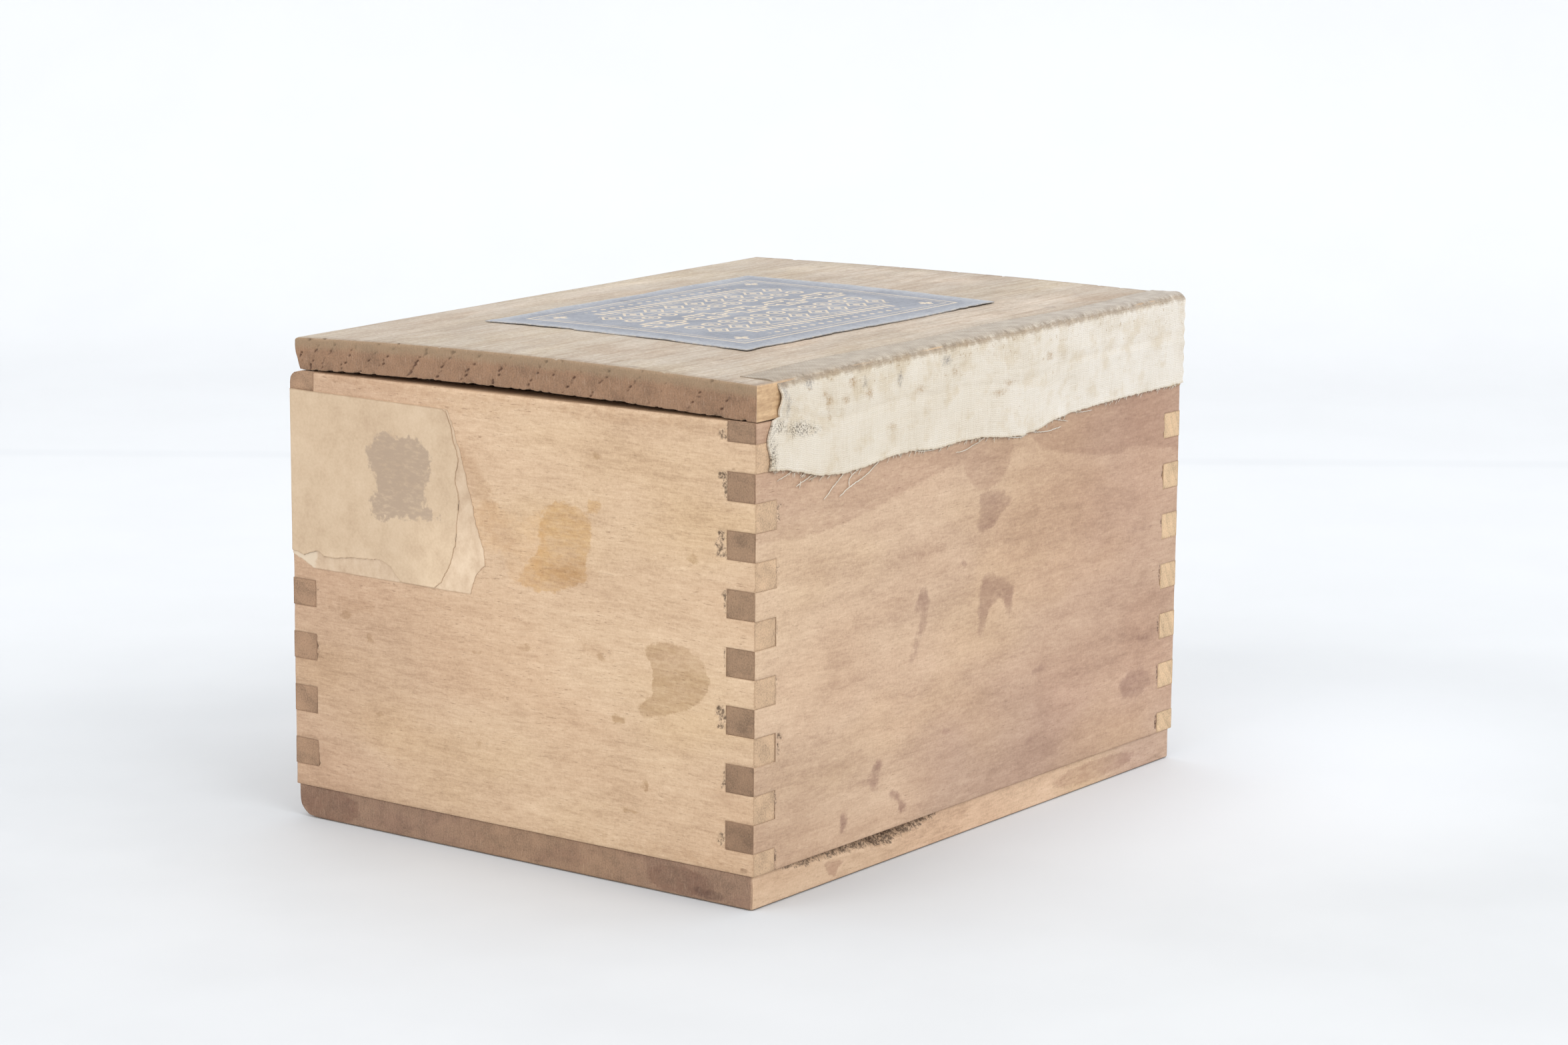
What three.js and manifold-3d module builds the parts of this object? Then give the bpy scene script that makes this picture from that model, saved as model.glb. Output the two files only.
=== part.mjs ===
// Boxed jigsaw puzzle: a small comb-jointed wooden box with a cloth-hinged lid,
// holding a 42-piece plywood jigsaw puzzle stacked in six piles.
// Millimetres, +Z up. X runs along the hinge, +Y is the hinge side, -Y the opening side.
// Origin: middle of the footprint, on the surface the box stands on.
import * as THREE from 'three';
import { mergeVertices } from 'three/addons/utils/BufferGeometryUtils.js';
import Module from 'manifold-3d';

const wasm = await Module();
wasm.setup();

// ---------------------------------------------------------------- driving dimensions
const BOX_L = 150.0;          // outside length of the comb-jointed box, along the hinge
const BOX_W = 114.0;          // outside depth, front to hinge side
const BASE_T = 6.5;           // bottom board thickness
const WALL_TOP = 89.8;        // height of the four walls' top edge
const WALL_T = 6.4;           // wall stock (quarter-inch board)
const FINGER_0 = 10.8;        // first comb shoulder above the floor
const FINGER_P = 5.37;        // height of one comb finger
const FINGER_N = 15;          // shoulders in one corner
const BASE_INSET_X = 0.3;     // bottom board stops this short of the end walls' faces
const BASE_INSET_Y = 0.5;     // and of the long walls' faces
const BASE_ROUND = 5.0;       // rounding along the bottom board's front lower edge
const FRONT_ROUND = 2.6;      // rounding along the front wall's top outer edge
const LID_T = 6.7;            // lid thickness at the hinge side
const LID_T_FRONT = 6.3;      // lid thickness at the opening side
const LID_GAP = 0.07;         // air under the lid where it rests
const LID_RISE = 3.3;         // the warped lid stands this much higher at its -X end
const LID_TWIST = 0.7;        // and this much higher again at the -X front corner
const LID_CUP = 1.15;         // crown of the cupped lid across its width at the +X end
const LID_CUP_FAR = 0.6;      // the same at the -X end
const LID_FRONT = -55.9;      // front edge of the lid
const CLOTH_T = 0.4;          // woven hinge tape
const CLOTH_DROP = 11.0;      // how far the tape comes down the back wall
const CLOTH_LAP = 8.0;        // how far the tape laps onto the lid's top
const CLOTH_X0 = -75.0;       // tape's far end
const CLOTH_X1_WALL = 71.4;   // tape's near end on the wall
const CLOTH_X1_LID = 68.4;    // tape's near end on the lid
const AIR = 0.05;             // clearance under glued-on skins
const PAPER_T = 0.15;         // paper of the labels
const LABEL_W = 85.4;         // lid label, along X
const LABEL_H = 68.0;         // lid label, along Y
const LABEL_TURN = -2.4;      // degrees, the label is pasted on slightly askew
const LABEL_X = 2.0;          // and a little off the middle
const PITCH = 28.5;           // jigsaw grid
const KERF = 0.3;             // saw cut between two jigsaw pieces
const PLY_T = 6.3;            // jigsaw plywood thickness
const COLS = 7, ROWS = 6;     // jigsaw grid
const BRAD_R = 0.65, BRAD_HEAD_R = 1.15, BRAD_HEAD_T = 0.6, BRAD_L = 17;   // bottom brads
const BRAD_SET = 0.6;         // heads punched this far below the underside

const XO = BOX_L / 2, YO = BOX_W / 2;            // outside faces
const XI = XO - WALL_T, YI = YO - WALL_T;        // inside faces

// ---------------------------------------------------------------- colours
const mat = (color, roughness, metalness = 0) => new THREE.MeshStandardMaterial({ color, roughness, metalness });
const PINE = 0xc9ab82, BROWN = 0xb08868, DARK = 0x8f6f52, LINEN = 0xd8d2bf, BLUE = 0x6d7a8c, PAPER = 0xd3b994;

// ---------------------------------------------------------------- helpers
const toSolid = (geometry) => {
  const g = geometry.clone();
  for (const name of Object.keys(g.attributes)) if (name !== 'position') g.deleteAttribute(name);
  const m = mergeVertices(g, 1e-4);
  return new wasm.Manifold(new wasm.Mesh({
    numProp: 3,
    vertProperties: new Float32Array(m.attributes.position.array),
    triVerts: new Uint32Array(m.index.array),
  }));
};
const toGeometry = (solid) => {
  const m = solid.getMesh();
  const g = new THREE.BufferGeometry();
  const p = new Float32Array(m.numVert * 3);
  for (let i = 0; i < m.numVert; i++) for (let k = 0; k < 3; k++) p[i * 3 + k] = m.vertProperties[i * m.numProp + k];
  g.setAttribute('position', new THREE.BufferAttribute(p, 3));
  g.setIndex([...m.triVerts]);
  g.computeVertexNormals();
  return g;
};
const shapeOf = (points) => new THREE.Shape(points.map(([a, b]) => new THREE.Vector2(a, b)));
// a closed outline in the XZ plane, extruded from y0 to y1
const slabXZ = (points, y0, y1) => {
  const g = new THREE.ExtrudeGeometry(shapeOf(points), { depth: y1 - y0, bevelEnabled: false });
  g.applyMatrix4(new THREE.Matrix4().set(1, 0, 0, 0, 0, 0, -1, y1, 0, 1, 0, 0, 0, 0, 0, 1));
  return g;
};
// a closed outline in the YZ plane, extruded from x0 to x1
const slabYZ = (points, x0, x1, steps = 1) => {
  const g = new THREE.ExtrudeGeometry(shapeOf(points), { depth: x1 - x0, steps, bevelEnabled: false });
  g.applyMatrix4(new THREE.Matrix4().set(0, 0, 1, x0, 1, 0, 0, 0, 0, 1, 0, 0, 0, 0, 0, 1));
  return g;
};
const block = (x0, x1, y0, y1, z0, z1) => {
  const g = new THREE.BoxGeometry(x1 - x0, y1 - y0, z1 - z0);
  g.translate((x0 + x1) / 2, (y0 + y1) / 2, (z0 + z1) / 2);
  return g;
};
const rod = (x, y, z0, z1, r) => {
  const g = new THREE.CylinderGeometry(r, r, z1 - z0, 8);
  g.rotateX(Math.PI / 2);
  g.translate(x, y, (z0 + z1) / 2);
  return g;
};
// quarter-round profile points from angle a0 to a1, in degrees
const arc = (cy, cz, r, a0, a1, n) => Array.from({ length: n + 1 }, (_, i) => {
  const a = (a0 + (a1 - a0) * i / n) * Math.PI / 180;
  return [cy + r * Math.cos(a), cz + r * Math.sin(a)];
});

const group = new THREE.Group();
const add = (name, geometry, material) => {
  const mesh = new THREE.Mesh(geometry, material);
  mesh.name = name;
  group.add(mesh);
  return mesh;
};

// ---------------------------------------------------------------- brad places (into the walls, from below)
const BRADS = [
  ['front_a', -48, -(YI + 1.8)], ['front_b', 0, -(YI + 1.8)], ['front_c', 48, -(YI + 1.8)],
  ['back_a', -48, YO - WALL_T / 2], ['back_b', 0, YO - WALL_T / 2], ['back_c', 48, YO - WALL_T / 2],
  ['left', -(XO - WALL_T / 2), 0], ['right', XO - WALL_T / 2, 0],
];
const drill = (solid) => {
  for (const [, x, y] of BRADS) {
    solid = solid.subtract(toSolid(rod(x, y, -1, BRAD_L + 0.6, BRAD_R + 0.12)));
  }
  return solid;
};

// ---------------------------------------------------------------- the four walls
// Comb shoulders from the bottom up. The end walls own the lowest finger, the long walls the top one.
const shoulders = Array.from({ length: FINGER_N }, (_, i) => FINGER_0 + FINGER_P * i);
const combEdge = (reach, notch, ownsLowest) => {
  // points up one end of a wall, from the bottom to the top, at +reach or +notch
  const pts = [];
  let out = ownsLowest;
  pts.push([out ? reach : notch, BASE_T]);
  for (const z of shoulders) {
    pts.push([out ? reach : notch, z]);
    out = !out;
    pts.push([out ? reach : notch, z]);
  }
  pts.push([out ? reach : notch, WALL_TOP]);
  return pts;
};
const combWall = (reach, notch, ownsLowest) => {
  const right = combEdge(reach, notch, ownsLowest);
  const left = right.map(([a, z]) => [-a, z]).reverse();
  return [...right, ...left];
};

const longOutline = combWall(XO, XI, false);
const endOutline = combWall(YO, YI, true);

// front wall: its top outer edge is rounded along the whole length, as a finger grip under the lid
{
  const profile = [
    [-YI, BASE_T - 1], [-YI, WALL_TOP], ...arc(-YO + FRONT_ROUND, WALL_TOP - FRONT_ROUND, FRONT_ROUND, 90, 180, 4), [-YO, BASE_T - 1],
  ].reverse();
  const wall = drill(toSolid(slabXZ(longOutline, -YO, -YI)).intersect(toSolid(slabYZ(profile, -XO - 1, XO + 1))));
  add('front_wall', toGeometry(wall), mat(BROWN, 0.7));
}
add('back_wall', toGeometry(drill(toSolid(slabXZ(longOutline, YI, YO)))), mat(BROWN, 0.7));
add('right_end_wall', toGeometry(drill(toSolid(slabYZ(endOutline, XI, XO)))), mat(PINE, 0.7));
add('left_end_wall', toGeometry(drill(toSolid(slabYZ(endOutline, -XO, -XI)))), mat(PINE, 0.7));

// ---------------------------------------------------------------- bottom board
{
  const y1 = YO - BASE_INSET_Y, x1 = XO - BASE_INSET_X;
  const profile = [[y1, 0], [y1, BASE_T], [-y1, BASE_T], ...arc(-y1 + BASE_ROUND, BASE_ROUND, BASE_ROUND, 180, 270, 4)];
  let board = drill(toSolid(slabYZ(profile, -x1, x1)));
  for (const [, x, y] of BRADS) board = board.subtract(toSolid(rod(x, y, -1, BRAD_SET + BRAD_HEAD_T + 0.12, BRAD_HEAD_R + 0.12)));
  add('base_board', toGeometry(board), mat(DARK, 0.7));
}

// brads, their heads punched just below the underside
for (const [name, x, y] of BRADS) {
  const r = BRAD_R, R = BRAD_HEAD_R, z0 = BRAD_SET, z1 = z0 + BRAD_HEAD_T;
  const g = new THREE.LatheGeometry([
    new THREE.Vector2(0, z0), new THREE.Vector2(R, z0), new THREE.Vector2(R, z1), new THREE.Vector2(r, z1),
    new THREE.Vector2(r, BRAD_L - 2), new THREE.Vector2(0, BRAD_L),
  ], 8);
  g.rotateX(Math.PI / 2);
  const solid = mergeVertices((() => { g.deleteAttribute('normal'); g.deleteAttribute('uv'); return g; })(), 1e-4);
  solid.computeVertexNormals();
  const mesh = add(`brad_${name}`, solid, mat(0x777777, 0.45, 0.9));
  mesh.position.set(x, y, 0);
}

// ---------------------------------------------------------------- lid
// The board has warped: it is crowned across its width and stands higher at the -X end.
const far = (x) => (XO - x) / BOX_L;                    // 0 at the +X end, 1 at the -X end
const warp = (x, y) => {
  const u = far(x), v = (YO - y) / BOX_W;               // v is 0 at the hinge, 1 at the front
  const cup = (LID_CUP + (LID_CUP_FAR - LID_CUP) * u) * (1 - (y / YO) * (y / YO));
  return WALL_TOP + LID_GAP + LID_RISE * u + LID_TWIST * u * v + cup;
};
const warped = (geometry) => {
  const p = geometry.attributes.position;
  for (let i = 0; i < p.count; i++) p.setZ(i, p.getZ(i) + warp(p.getX(i), p.getY(i)));
  p.needsUpdate = true;
  geometry.computeVertexNormals();
  return geometry;
};
const lidTop = (y) => LID_T + (LID_T_FRONT - LID_T) * (YO - y) / BOX_W;
{
  const under = [-40, -26, -12, 2, 16, 30, 44];
  const profile = [
    [-54.2, 0.15], ...under.map((y) => [y, 0]), [YO, 0], [YO, LID_T - 0.5], [YO - 0.6, LID_T],
    ...[...under].reverse().map((y) => [y, lidTop(y)]),
    [LID_FRONT + 1.6, lidTop(LID_FRONT)], [LID_FRONT + 0.4, lidTop(LID_FRONT) - 0.5], [LID_FRONT, lidTop(LID_FRONT) - 1.4],
    [-54.9, 2.4],
  ];
  add('lid', warped(slabYZ(profile, -XO, XO, 6)), mat(BROWN, 0.7));
}

// ---------------------------------------------------------------- cloth hinge tape
// One strip of linen: a flange glued on the back wall and a flange glued round the lid's back edge,
// meeting at the fold line on the cloth's outer face.
{
  const y0 = YO + AIR, y1 = YO + AIR + CLOTH_T;
  const hem = [
    [CLOTH_X0, 81.2], [-58, 80.8], [-38, 80.2], [-24, 79.2], [-12, 77.4], [2, 78.8], [18, 78.4], [34, 78.8],
    [49, 77.6], [62, 79.5], [CLOTH_X1_WALL, 80.8],
  ];
  const outline = [...hem, [CLOTH_X1_WALL, WALL_TOP - 0.1], [CLOTH_X0, WALL_TOP - 0.1]];
  add('hinge_tape_wall', slabXZ(outline, y0, y1), mat(LINEN, 0.9));

  const t0 = LID_T + AIR, t1 = LID_T + AIR + CLOTH_T;
  const lap = YO - CLOTH_LAP;
  const profile = [
    [y0, 0.1], [y1, 0.1], [y1, t1 - 0.5], [y1 - 0.5, t1], [lap + 4, t1 - 0.01], [lap, t1 - 0.02], [lap, t0 - 0.02], [lap + 4, t0 - 0.01], [y0, t0],
  ];
  // the flange reaches down to the fold line all along, also where the lid stands higher
  const flange = slabYZ(profile, CLOTH_X0, CLOTH_X1_LID, 6);
  const p = flange.attributes.position;
  for (let i = 0; i < p.count; i++) if (p.getZ(i) < 0.2) p.setZ(i, WALL_TOP + 0.1 - warp(p.getX(i), p.getY(i)));
  add('hinge_tape_lid', warped(flange), mat(LINEN, 0.9));
}

// ---------------------------------------------------------------- paper labels
{
  const g = new THREE.BoxGeometry(LABEL_W, LABEL_H, PAPER_T, 6, 5, 1);
  g.rotateZ(LABEL_TURN * Math.PI / 180);
  g.translate(LABEL_X, 0, 0);
  const p = g.attributes.position;
  for (let i = 0; i < p.count; i++) p.setZ(i, p.getZ(i) + lidTop(p.getY(i)) + PAPER_T / 2 + AIR);
  add('lid_label', warped(g), mat(BLUE, 0.6));
}
{
  // remains of a paper seal pasted round the front corner of the +X end wall
  const outline = [
    [-YO - PAPER_T, 52.4], [-50.7, 50.7], [-10.3, 50.7], [-8.6, 55.2], [-6.5, 57.2], [-9.2, 66.0], [-10.4, 71.2], [-12.6, 79.0],
    [-15.6, 85.7], [-YO - PAPER_T, 86.0],
  ];
  const side = toSolid(slabYZ(outline, XO, XO + PAPER_T));
  const returnPiece = [[XO + PAPER_T, 52.4], [XO + PAPER_T, 86.0], [66.2, 85.8], [64.6, 78.0], [65.8, 69.0], [64.9, 60.0], [67.5, 53.2]].reverse();
  const front = toSolid(slabXZ(returnPiece, -YO - PAPER_T, -YO));
  add('paper_seal', toGeometry(side.add(front)), mat(PAPER, 0.8));
}

// ---------------------------------------------------------------- jigsaw puzzle
// Knob outline along one grid edge, in units of the pitch: [along, out]
const KNOB = [[0.405, 0.0], [0.435, 0.045], [0.385, 0.12], [0.42, 0.2], [0.5, 0.232], [0.58, 0.2], [0.615, 0.12], [0.565, 0.045], [0.595, 0.0]];
// +1: the knob points to greater x (or y), -1: to smaller
const sign = (a, b, c) => ((a * 7 + b * 13 + c * 5 + ((a * b) % 3)) % 2 === 0 ? 1 : -1);
const slip = (a, b) => (((a * 31 + b * 17) % 7) - 3) * 0.014;   // each knob sits a little off the middle
const edgePoints = (x0, y0, x1, y1, bulge, off) => {
  // from (x0,y0) to (x1,y1) with the knob to the left of travel when bulge is +1
  const dx = x1 - x0, dy = y1 - y0;
  const pts = [[x0, y0]];
  if (bulge !== 0) for (const [s, h] of KNOB) {
    const t = s + off;
    pts.push([x0 + dx * t - dy * h * bulge, y0 + dy * t + dx * h * bulge]);
  }
  return pts;
};
const pieceOutline = (c, r) => {
  const P = PITCH, x0 = -P / 2, x1 = P / 2, y0 = -P / 2, y1 = P / 2;
  // vertical grid line c between columns c-1 and c; horizontal grid line r between rows r-1 and r
  const vert = (line) => (line === 0 || line === COLS ? 0 : sign(line, r, 1));
  const horz = (line) => (line === 0 || line === ROWS ? 0 : sign(c, line, 2));
  const so = (a, b) => slip(a, b);
  const bottom = edgePoints(x0, y0, x1, y0, horz(r), so(c, r + 9));
  const right = edgePoints(x1, y0, x1, y1, -vert(c + 1), so(c + 1, r));
  const top = edgePoints(x0, y1, x1, y1, horz(r + 1), so(c, r + 10)).slice(1).reverse();
  const left = edgePoints(x0, y0, x0, y1, -vert(c), so(c, r)).slice(1).reverse();
  const loop = [...bottom, ...right, [x1, y1], ...top, [x0, y1], ...left];
  // half the saw kerf comes off all round
  const n = loop.length;
  return loop.map((p, i) => {
    const a = loop[(i + n - 1) % n], b = loop[(i + 1) % n];
    let tx = b[0] - a[0], ty = b[1] - a[1];
    const L = Math.hypot(tx, ty);
    tx /= L; ty /= L;
    return [p[0] - ty * KERF / 2, p[1] + tx * KERF / 2];
  });
};

// six piles of seven, bottom piece first: [column, row]
const PILES = [
  { x: -45.6, y: -24.6, pieces: [[0, 0], [3, 4], [6, 1], [1, 3], [4, 0], [2, 5], [5, 3]] },
  { x: 0.2, y: -25.0, pieces: [[5, 5], [0, 2], [2, 1], [6, 4], [3, 0], [1, 5], [3, 2]] },
  { x: 45.5, y: -24.4, pieces: [[6, 0], [1, 1], [4, 5], [0, 4], [5, 2], [2, 3], [1, 4]] },
  { x: -45.4, y: 24.8, pieces: [[2, 0], [5, 4], [0, 1], [3, 5], [6, 3], [4, 1], [2, 2]] },
  { x: -0.2, y: 24.5, pieces: [[4, 4], [6, 5], [1, 0], [0, 3], [3, 1], [5, 0], [4, 2]] },
  { x: 45.6, y: 25.0, pieces: [[0, 5], [2, 4], [6, 2], [5, 1], [1, 2], [3, 3], [4, 3]] },
];
PILES.forEach((pile, k) => {
  pile.pieces.forEach(([c, r], i) => {
    const turn = ((k * 3 + i * 2 + c) % 4) * 90 + (((k * 5 + i * 7 + r * 3) % 9) - 4) * 0.9;
    const dx = (((c * 5 + i * 3 + k) % 5) - 2) * 0.28, dy = (((r * 3 + i * 5 + k * 2) % 5) - 2) * 0.5;
    const g = new THREE.ExtrudeGeometry(shapeOf(pieceOutline(c, r)), { depth: PLY_T, bevelEnabled: false });
    const mesh = add(`piece_r${r + 1}c${c + 1}`, g, mat([0x7fa8b5, 0xb9c48a, 0xd8c48f, 0xc78f6a][(c + r) % 4], 0.6));
    mesh.rotation.z = turn * Math.PI / 180;
    mesh.position.set(pile.x + dx, pile.y + dy, BASE_T + PLY_T * i);
  });
});

// the pasted-on paper and the cloth stand proud of two sides: centre the whole object on the origin
group.position.set(-PAPER_T / 2, -(AIR + CLOTH_T - PAPER_T) / 2, 0);
group.updateMatrixWorld(true);

export default group;
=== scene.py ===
# Boxed jigsaw puzzle: old comb-jointed wooden box, cloth hinge, paper labels, plywood puzzle pieces.
# Everything is worked out in millimetres in the box's own frame and turned into metres when a mesh is made.
import math

import bpy
import bmesh
import numpy as np
from mathutils import Matrix, Vector


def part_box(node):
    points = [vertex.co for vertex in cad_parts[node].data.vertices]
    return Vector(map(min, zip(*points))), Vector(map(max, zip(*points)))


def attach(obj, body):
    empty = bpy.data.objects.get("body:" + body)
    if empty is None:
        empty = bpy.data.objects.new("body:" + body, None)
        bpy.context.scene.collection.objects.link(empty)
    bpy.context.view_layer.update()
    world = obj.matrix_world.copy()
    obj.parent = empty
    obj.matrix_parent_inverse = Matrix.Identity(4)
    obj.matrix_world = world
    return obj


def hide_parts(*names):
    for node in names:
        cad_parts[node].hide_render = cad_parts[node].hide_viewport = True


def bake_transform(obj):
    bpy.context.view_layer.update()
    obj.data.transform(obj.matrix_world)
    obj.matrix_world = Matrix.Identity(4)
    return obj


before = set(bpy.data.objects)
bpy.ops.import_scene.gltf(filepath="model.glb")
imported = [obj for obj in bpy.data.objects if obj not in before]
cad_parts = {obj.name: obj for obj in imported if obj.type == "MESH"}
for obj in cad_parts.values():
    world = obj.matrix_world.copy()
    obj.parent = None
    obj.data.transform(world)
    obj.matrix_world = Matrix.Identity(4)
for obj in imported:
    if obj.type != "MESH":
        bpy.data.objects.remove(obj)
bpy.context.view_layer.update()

_f, _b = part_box("front_wall"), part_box("back_wall")
OX = (_f[0][0] + _f[1][0]) / 2
OY = (_f[0][1] + _b[1][1]) / 2
MM = 0.001

# ------------------------------------------------------------------ dimensions, mm, as in the CAD frame
XO, YO, WT = 75.0, 57.0, 6.4
XI, YI = XO - WT, YO - WT
BASE_T, WALL_TOP = 6.5, 89.8
SHOULDERS = [10.8 + 5.37 * i for i in range(15)]
LID_T, LID_TF, LID_GAP = 6.7, 6.3, 0.07
RISE, TWIST, CUP, CUPF = 3.3, 0.7, 1.15, 0.6
LID_FRONT = -55.9
PLY, PITCH, KERF, COLS, ROWS = 6.3, 28.5, 0.3, 7, 6


# ------------------------------------------------------------------ noise and distance fields
def _hash(ix, iy, iz, seed):
    n = (ix * 73856093) ^ (iy * 19349663) ^ (iz * 83492791) ^ np.int64(seed * 7919 + 13)
    n = n & 0x7FFFFFFF
    n = (n ^ (n >> 13)) & 0x7FFFFFFF
    n = (n * 1103515245 + 12345) & 0x7FFFFFFF
    n = (n ^ (n >> 11)) & 0x7FFFFFFF
    n = (n * 69069 + 1) & 0x7FFFFFFF
    return ((n >> 7) & 0xFFFFFF) / float(0xFFFFFF) * 2 - 1


def vn(P, f, seed=0):
    Q = np.asarray(P, float) * np.asarray(f, float)
    i = np.floor(Q).astype(np.int64)
    t = Q - i
    t = t * t * (3 - 2 * t)
    out = 0
    for dx in (0, 1):
        for dy in (0, 1):
            for dz in (0, 1):
                w = (t[:, 0] if dx else 1 - t[:, 0]) * (t[:, 1] if dy else 1 - t[:, 1]) * (t[:, 2] if dz else 1 - t[:, 2])
                out = out + w * _hash(i[:, 0] + dx, i[:, 1] + dy, i[:, 2] + dz, seed)
    return out


def fbm(P, f, octaves=3, seed=0, gain=0.5):
    a, s, out = 1.0, 0.0, 0
    f = np.asarray(f, float)
    for k in range(octaves):
        out = out + a * vn(P, f, seed + 17 * k)
        s += a
        a *= gain
        f = f * 2.03
    return out / s


def rnd(*k):
    n = 0
    for v in k:
        n = (n * 1000003 + int(v) * 7919 + 12345) & 0x7FFFFFFF
        n = (n ^ (n >> 13)) * 1103515245 & 0x7FFFFFFF
    return ((n >> 5) & 0xFFFFF) / float(0xFFFFF)


def step(x, a, b):
    t = np.clip((x - a) / (b - a), 0, 1)
    return t * t * (3 - 2 * t)


def poly_sdf(px, py, poly):
    poly = np.asarray(poly, float)
    d = np.full(px.shape, 1e9)
    inside = np.zeros(px.shape, bool)
    j = len(poly) - 1
    for i in range(len(poly)):
        ax, ay = poly[i]
        bx, by = poly[j]
        ex, ey = bx - ax, by - ay
        wx, wy = px - ax, py - ay
        t = np.clip((wx * ex + wy * ey) / (ex * ex + ey * ey + 1e-12), 0, 1)
        d = np.minimum(d, (wx - ex * t) ** 2 + (wy - ey * t) ** 2)
        cross = ((ay > py) != (by > py)) & (px < (bx - ax) * (py - ay) / ((by - ay) + 1e-12) + ax)
        inside ^= cross
        j = i
    d = np.sqrt(d)
    return np.where(inside, -d, d)


def line_dist(px, py, pts):
    d = np.full(px.shape, 1e9)
    for (ax, ay), (bx, by) in zip(pts[:-1], pts[1:]):
        ex, ey = bx - ax, by - ay
        wx, wy = px - ax, py - ay
        t = np.clip((wx * ex + wy * ey) / (ex * ex + ey * ey + 1e-12), 0, 1)
        d = np.minimum(d, (wx - ex * t) ** 2 + (wy - ey * t) ** 2)
    return np.sqrt(d)


def blob(px, py, cx, cy, rx, ry, rot=0.0):
    c, s = math.cos(math.radians(rot)), math.sin(math.radians(rot))
    x, y = (px - cx) * c + (py - cy) * s, -(px - cx) * s + (py - cy) * c
    return (np.sqrt((x / rx) ** 2 + (y / ry) ** 2) - 1) * min(rx, ry)


def union(*d):
    out = d[0]
    for e in d[1:]:
        out = np.minimum(out, e)
    return out


# ------------------------------------------------------------------ mesh plumbing
def lines(*marks, fine=0.5, coarse=1.4, near=2.5):
    """Grid lines through every mark, fine close to a mark and coarse between."""
    marks = sorted(set(round(m, 5) for m in marks))
    out = [marks[0]]
    for a, b in zip(marks[:-1], marks[1:]):
        L = b - a
        if L <= 2 * near:
            n = max(1, round(L / fine))
            out += [a + L * k / n for k in range(1, n + 1)]
        else:
            n = max(1, round(near / fine))
            out += [a + near * k / n for k in range(1, n + 1)]
            m = max(1, round((L - 2 * near) / coarse))
            out += [a + near + (L - 2 * near) * k / m for k in range(1, m + 1)]
            out += [b - near + near * k / n for k in range(1, n + 1)]
    return np.array(out)


def slab(U, V, mask, W):
    """A flat board with a stepped outline: cells of the U x V grid where mask is set, W gives the depth levels."""
    nu, nv, nw = len(U) - 1, len(V) - 1, len(W) - 1
    used = np.zeros((nu + 1, nv + 1), bool)
    for a in (0, 1):
        for b in (0, 1):
            used[a:nu + a, b:nv + b] |= mask
    verts, faces = [], []
    idx = np.full((nw + 1, nu + 1, nv + 1), -1, int)

    def vert(k, i, j):
        if idx[k, i, j] < 0:
            idx[k, i, j] = len(verts)
            verts.append((U[i], V[j], W[k]))
        return idx[k, i, j]

    cells = np.argwhere(mask)
    for i, j in cells:
        faces.append((vert(0, i, j), vert(0, i, j + 1), vert(0, i + 1, j + 1), vert(0, i + 1, j)))
        faces.append((vert(nw, i, j), vert(nw, i + 1, j), vert(nw, i + 1, j + 1), vert(nw, i, j + 1)))
    pad = np.zeros((nu + 2, nv + 2), bool)
    pad[1:-1, 1:-1] = mask
    for i in range(nu + 1):
        for j in range(nv):
            l, r = pad[i, j + 1], pad[i + 1, j + 1]
            if l != r:
                for k in range(nw):
                    q = (vert(k, i, j), vert(k, i, j + 1), vert(k + 1, i, j + 1), vert(k + 1, i, j))
                    faces.append(q if l else q[::-1])
    for i in range(nu):
        for j in range(nv + 1):
            d, u = pad[i + 1, j], pad[i + 1, j + 1]
            if d != u:
                for k in range(nw):
                    q = (vert(k, i, j), vert(k, i + 1, j), vert(k + 1, i + 1, j), vert(k + 1, i, j))
                    faces.append(q[::-1] if d else q)
    return np.array(verts, float), faces


def boxgrid(X, Y, Z):
    nx, ny, nz = len(X) - 1, len(Y) - 1, len(Z) - 1
    idx, verts, faces = {}, [], []

    def vert(i, j, k):
        key = (i, j, k)
        if key not in idx:
            idx[key] = len(verts)
            verts.append((X[i], Y[j], Z[k]))
        return idx[key]

    for i in range(nx):
        for j in range(ny):
            faces.append((vert(i, j, 0), vert(i, j + 1, 0), vert(i + 1, j + 1, 0), vert(i + 1, j, 0)))
            faces.append((vert(i, j, nz), vert(i + 1, j, nz), vert(i + 1, j + 1, nz), vert(i, j + 1, nz)))
    for i in range(nx):
        for k in range(nz):
            faces.append((vert(i, 0, k), vert(i + 1, 0, k), vert(i + 1, 0, k + 1), vert(i, 0, k + 1)))
            faces.append((vert(i, ny, k), vert(i, ny, k + 1), vert(i + 1, ny, k + 1), vert(i + 1, ny, k)))
    for j in range(ny):
        for k in range(nz):
            faces.append((vert(0, j, k), vert(0, j, k + 1), vert(0, j + 1, k + 1), vert(0, j + 1, k)))
            faces.append((vert(nx, j, k), vert(nx, j + 1, k), vert(nx, j + 1, k + 1), vert(nx, j, k + 1)))
    return np.array(verts, float), faces


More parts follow.
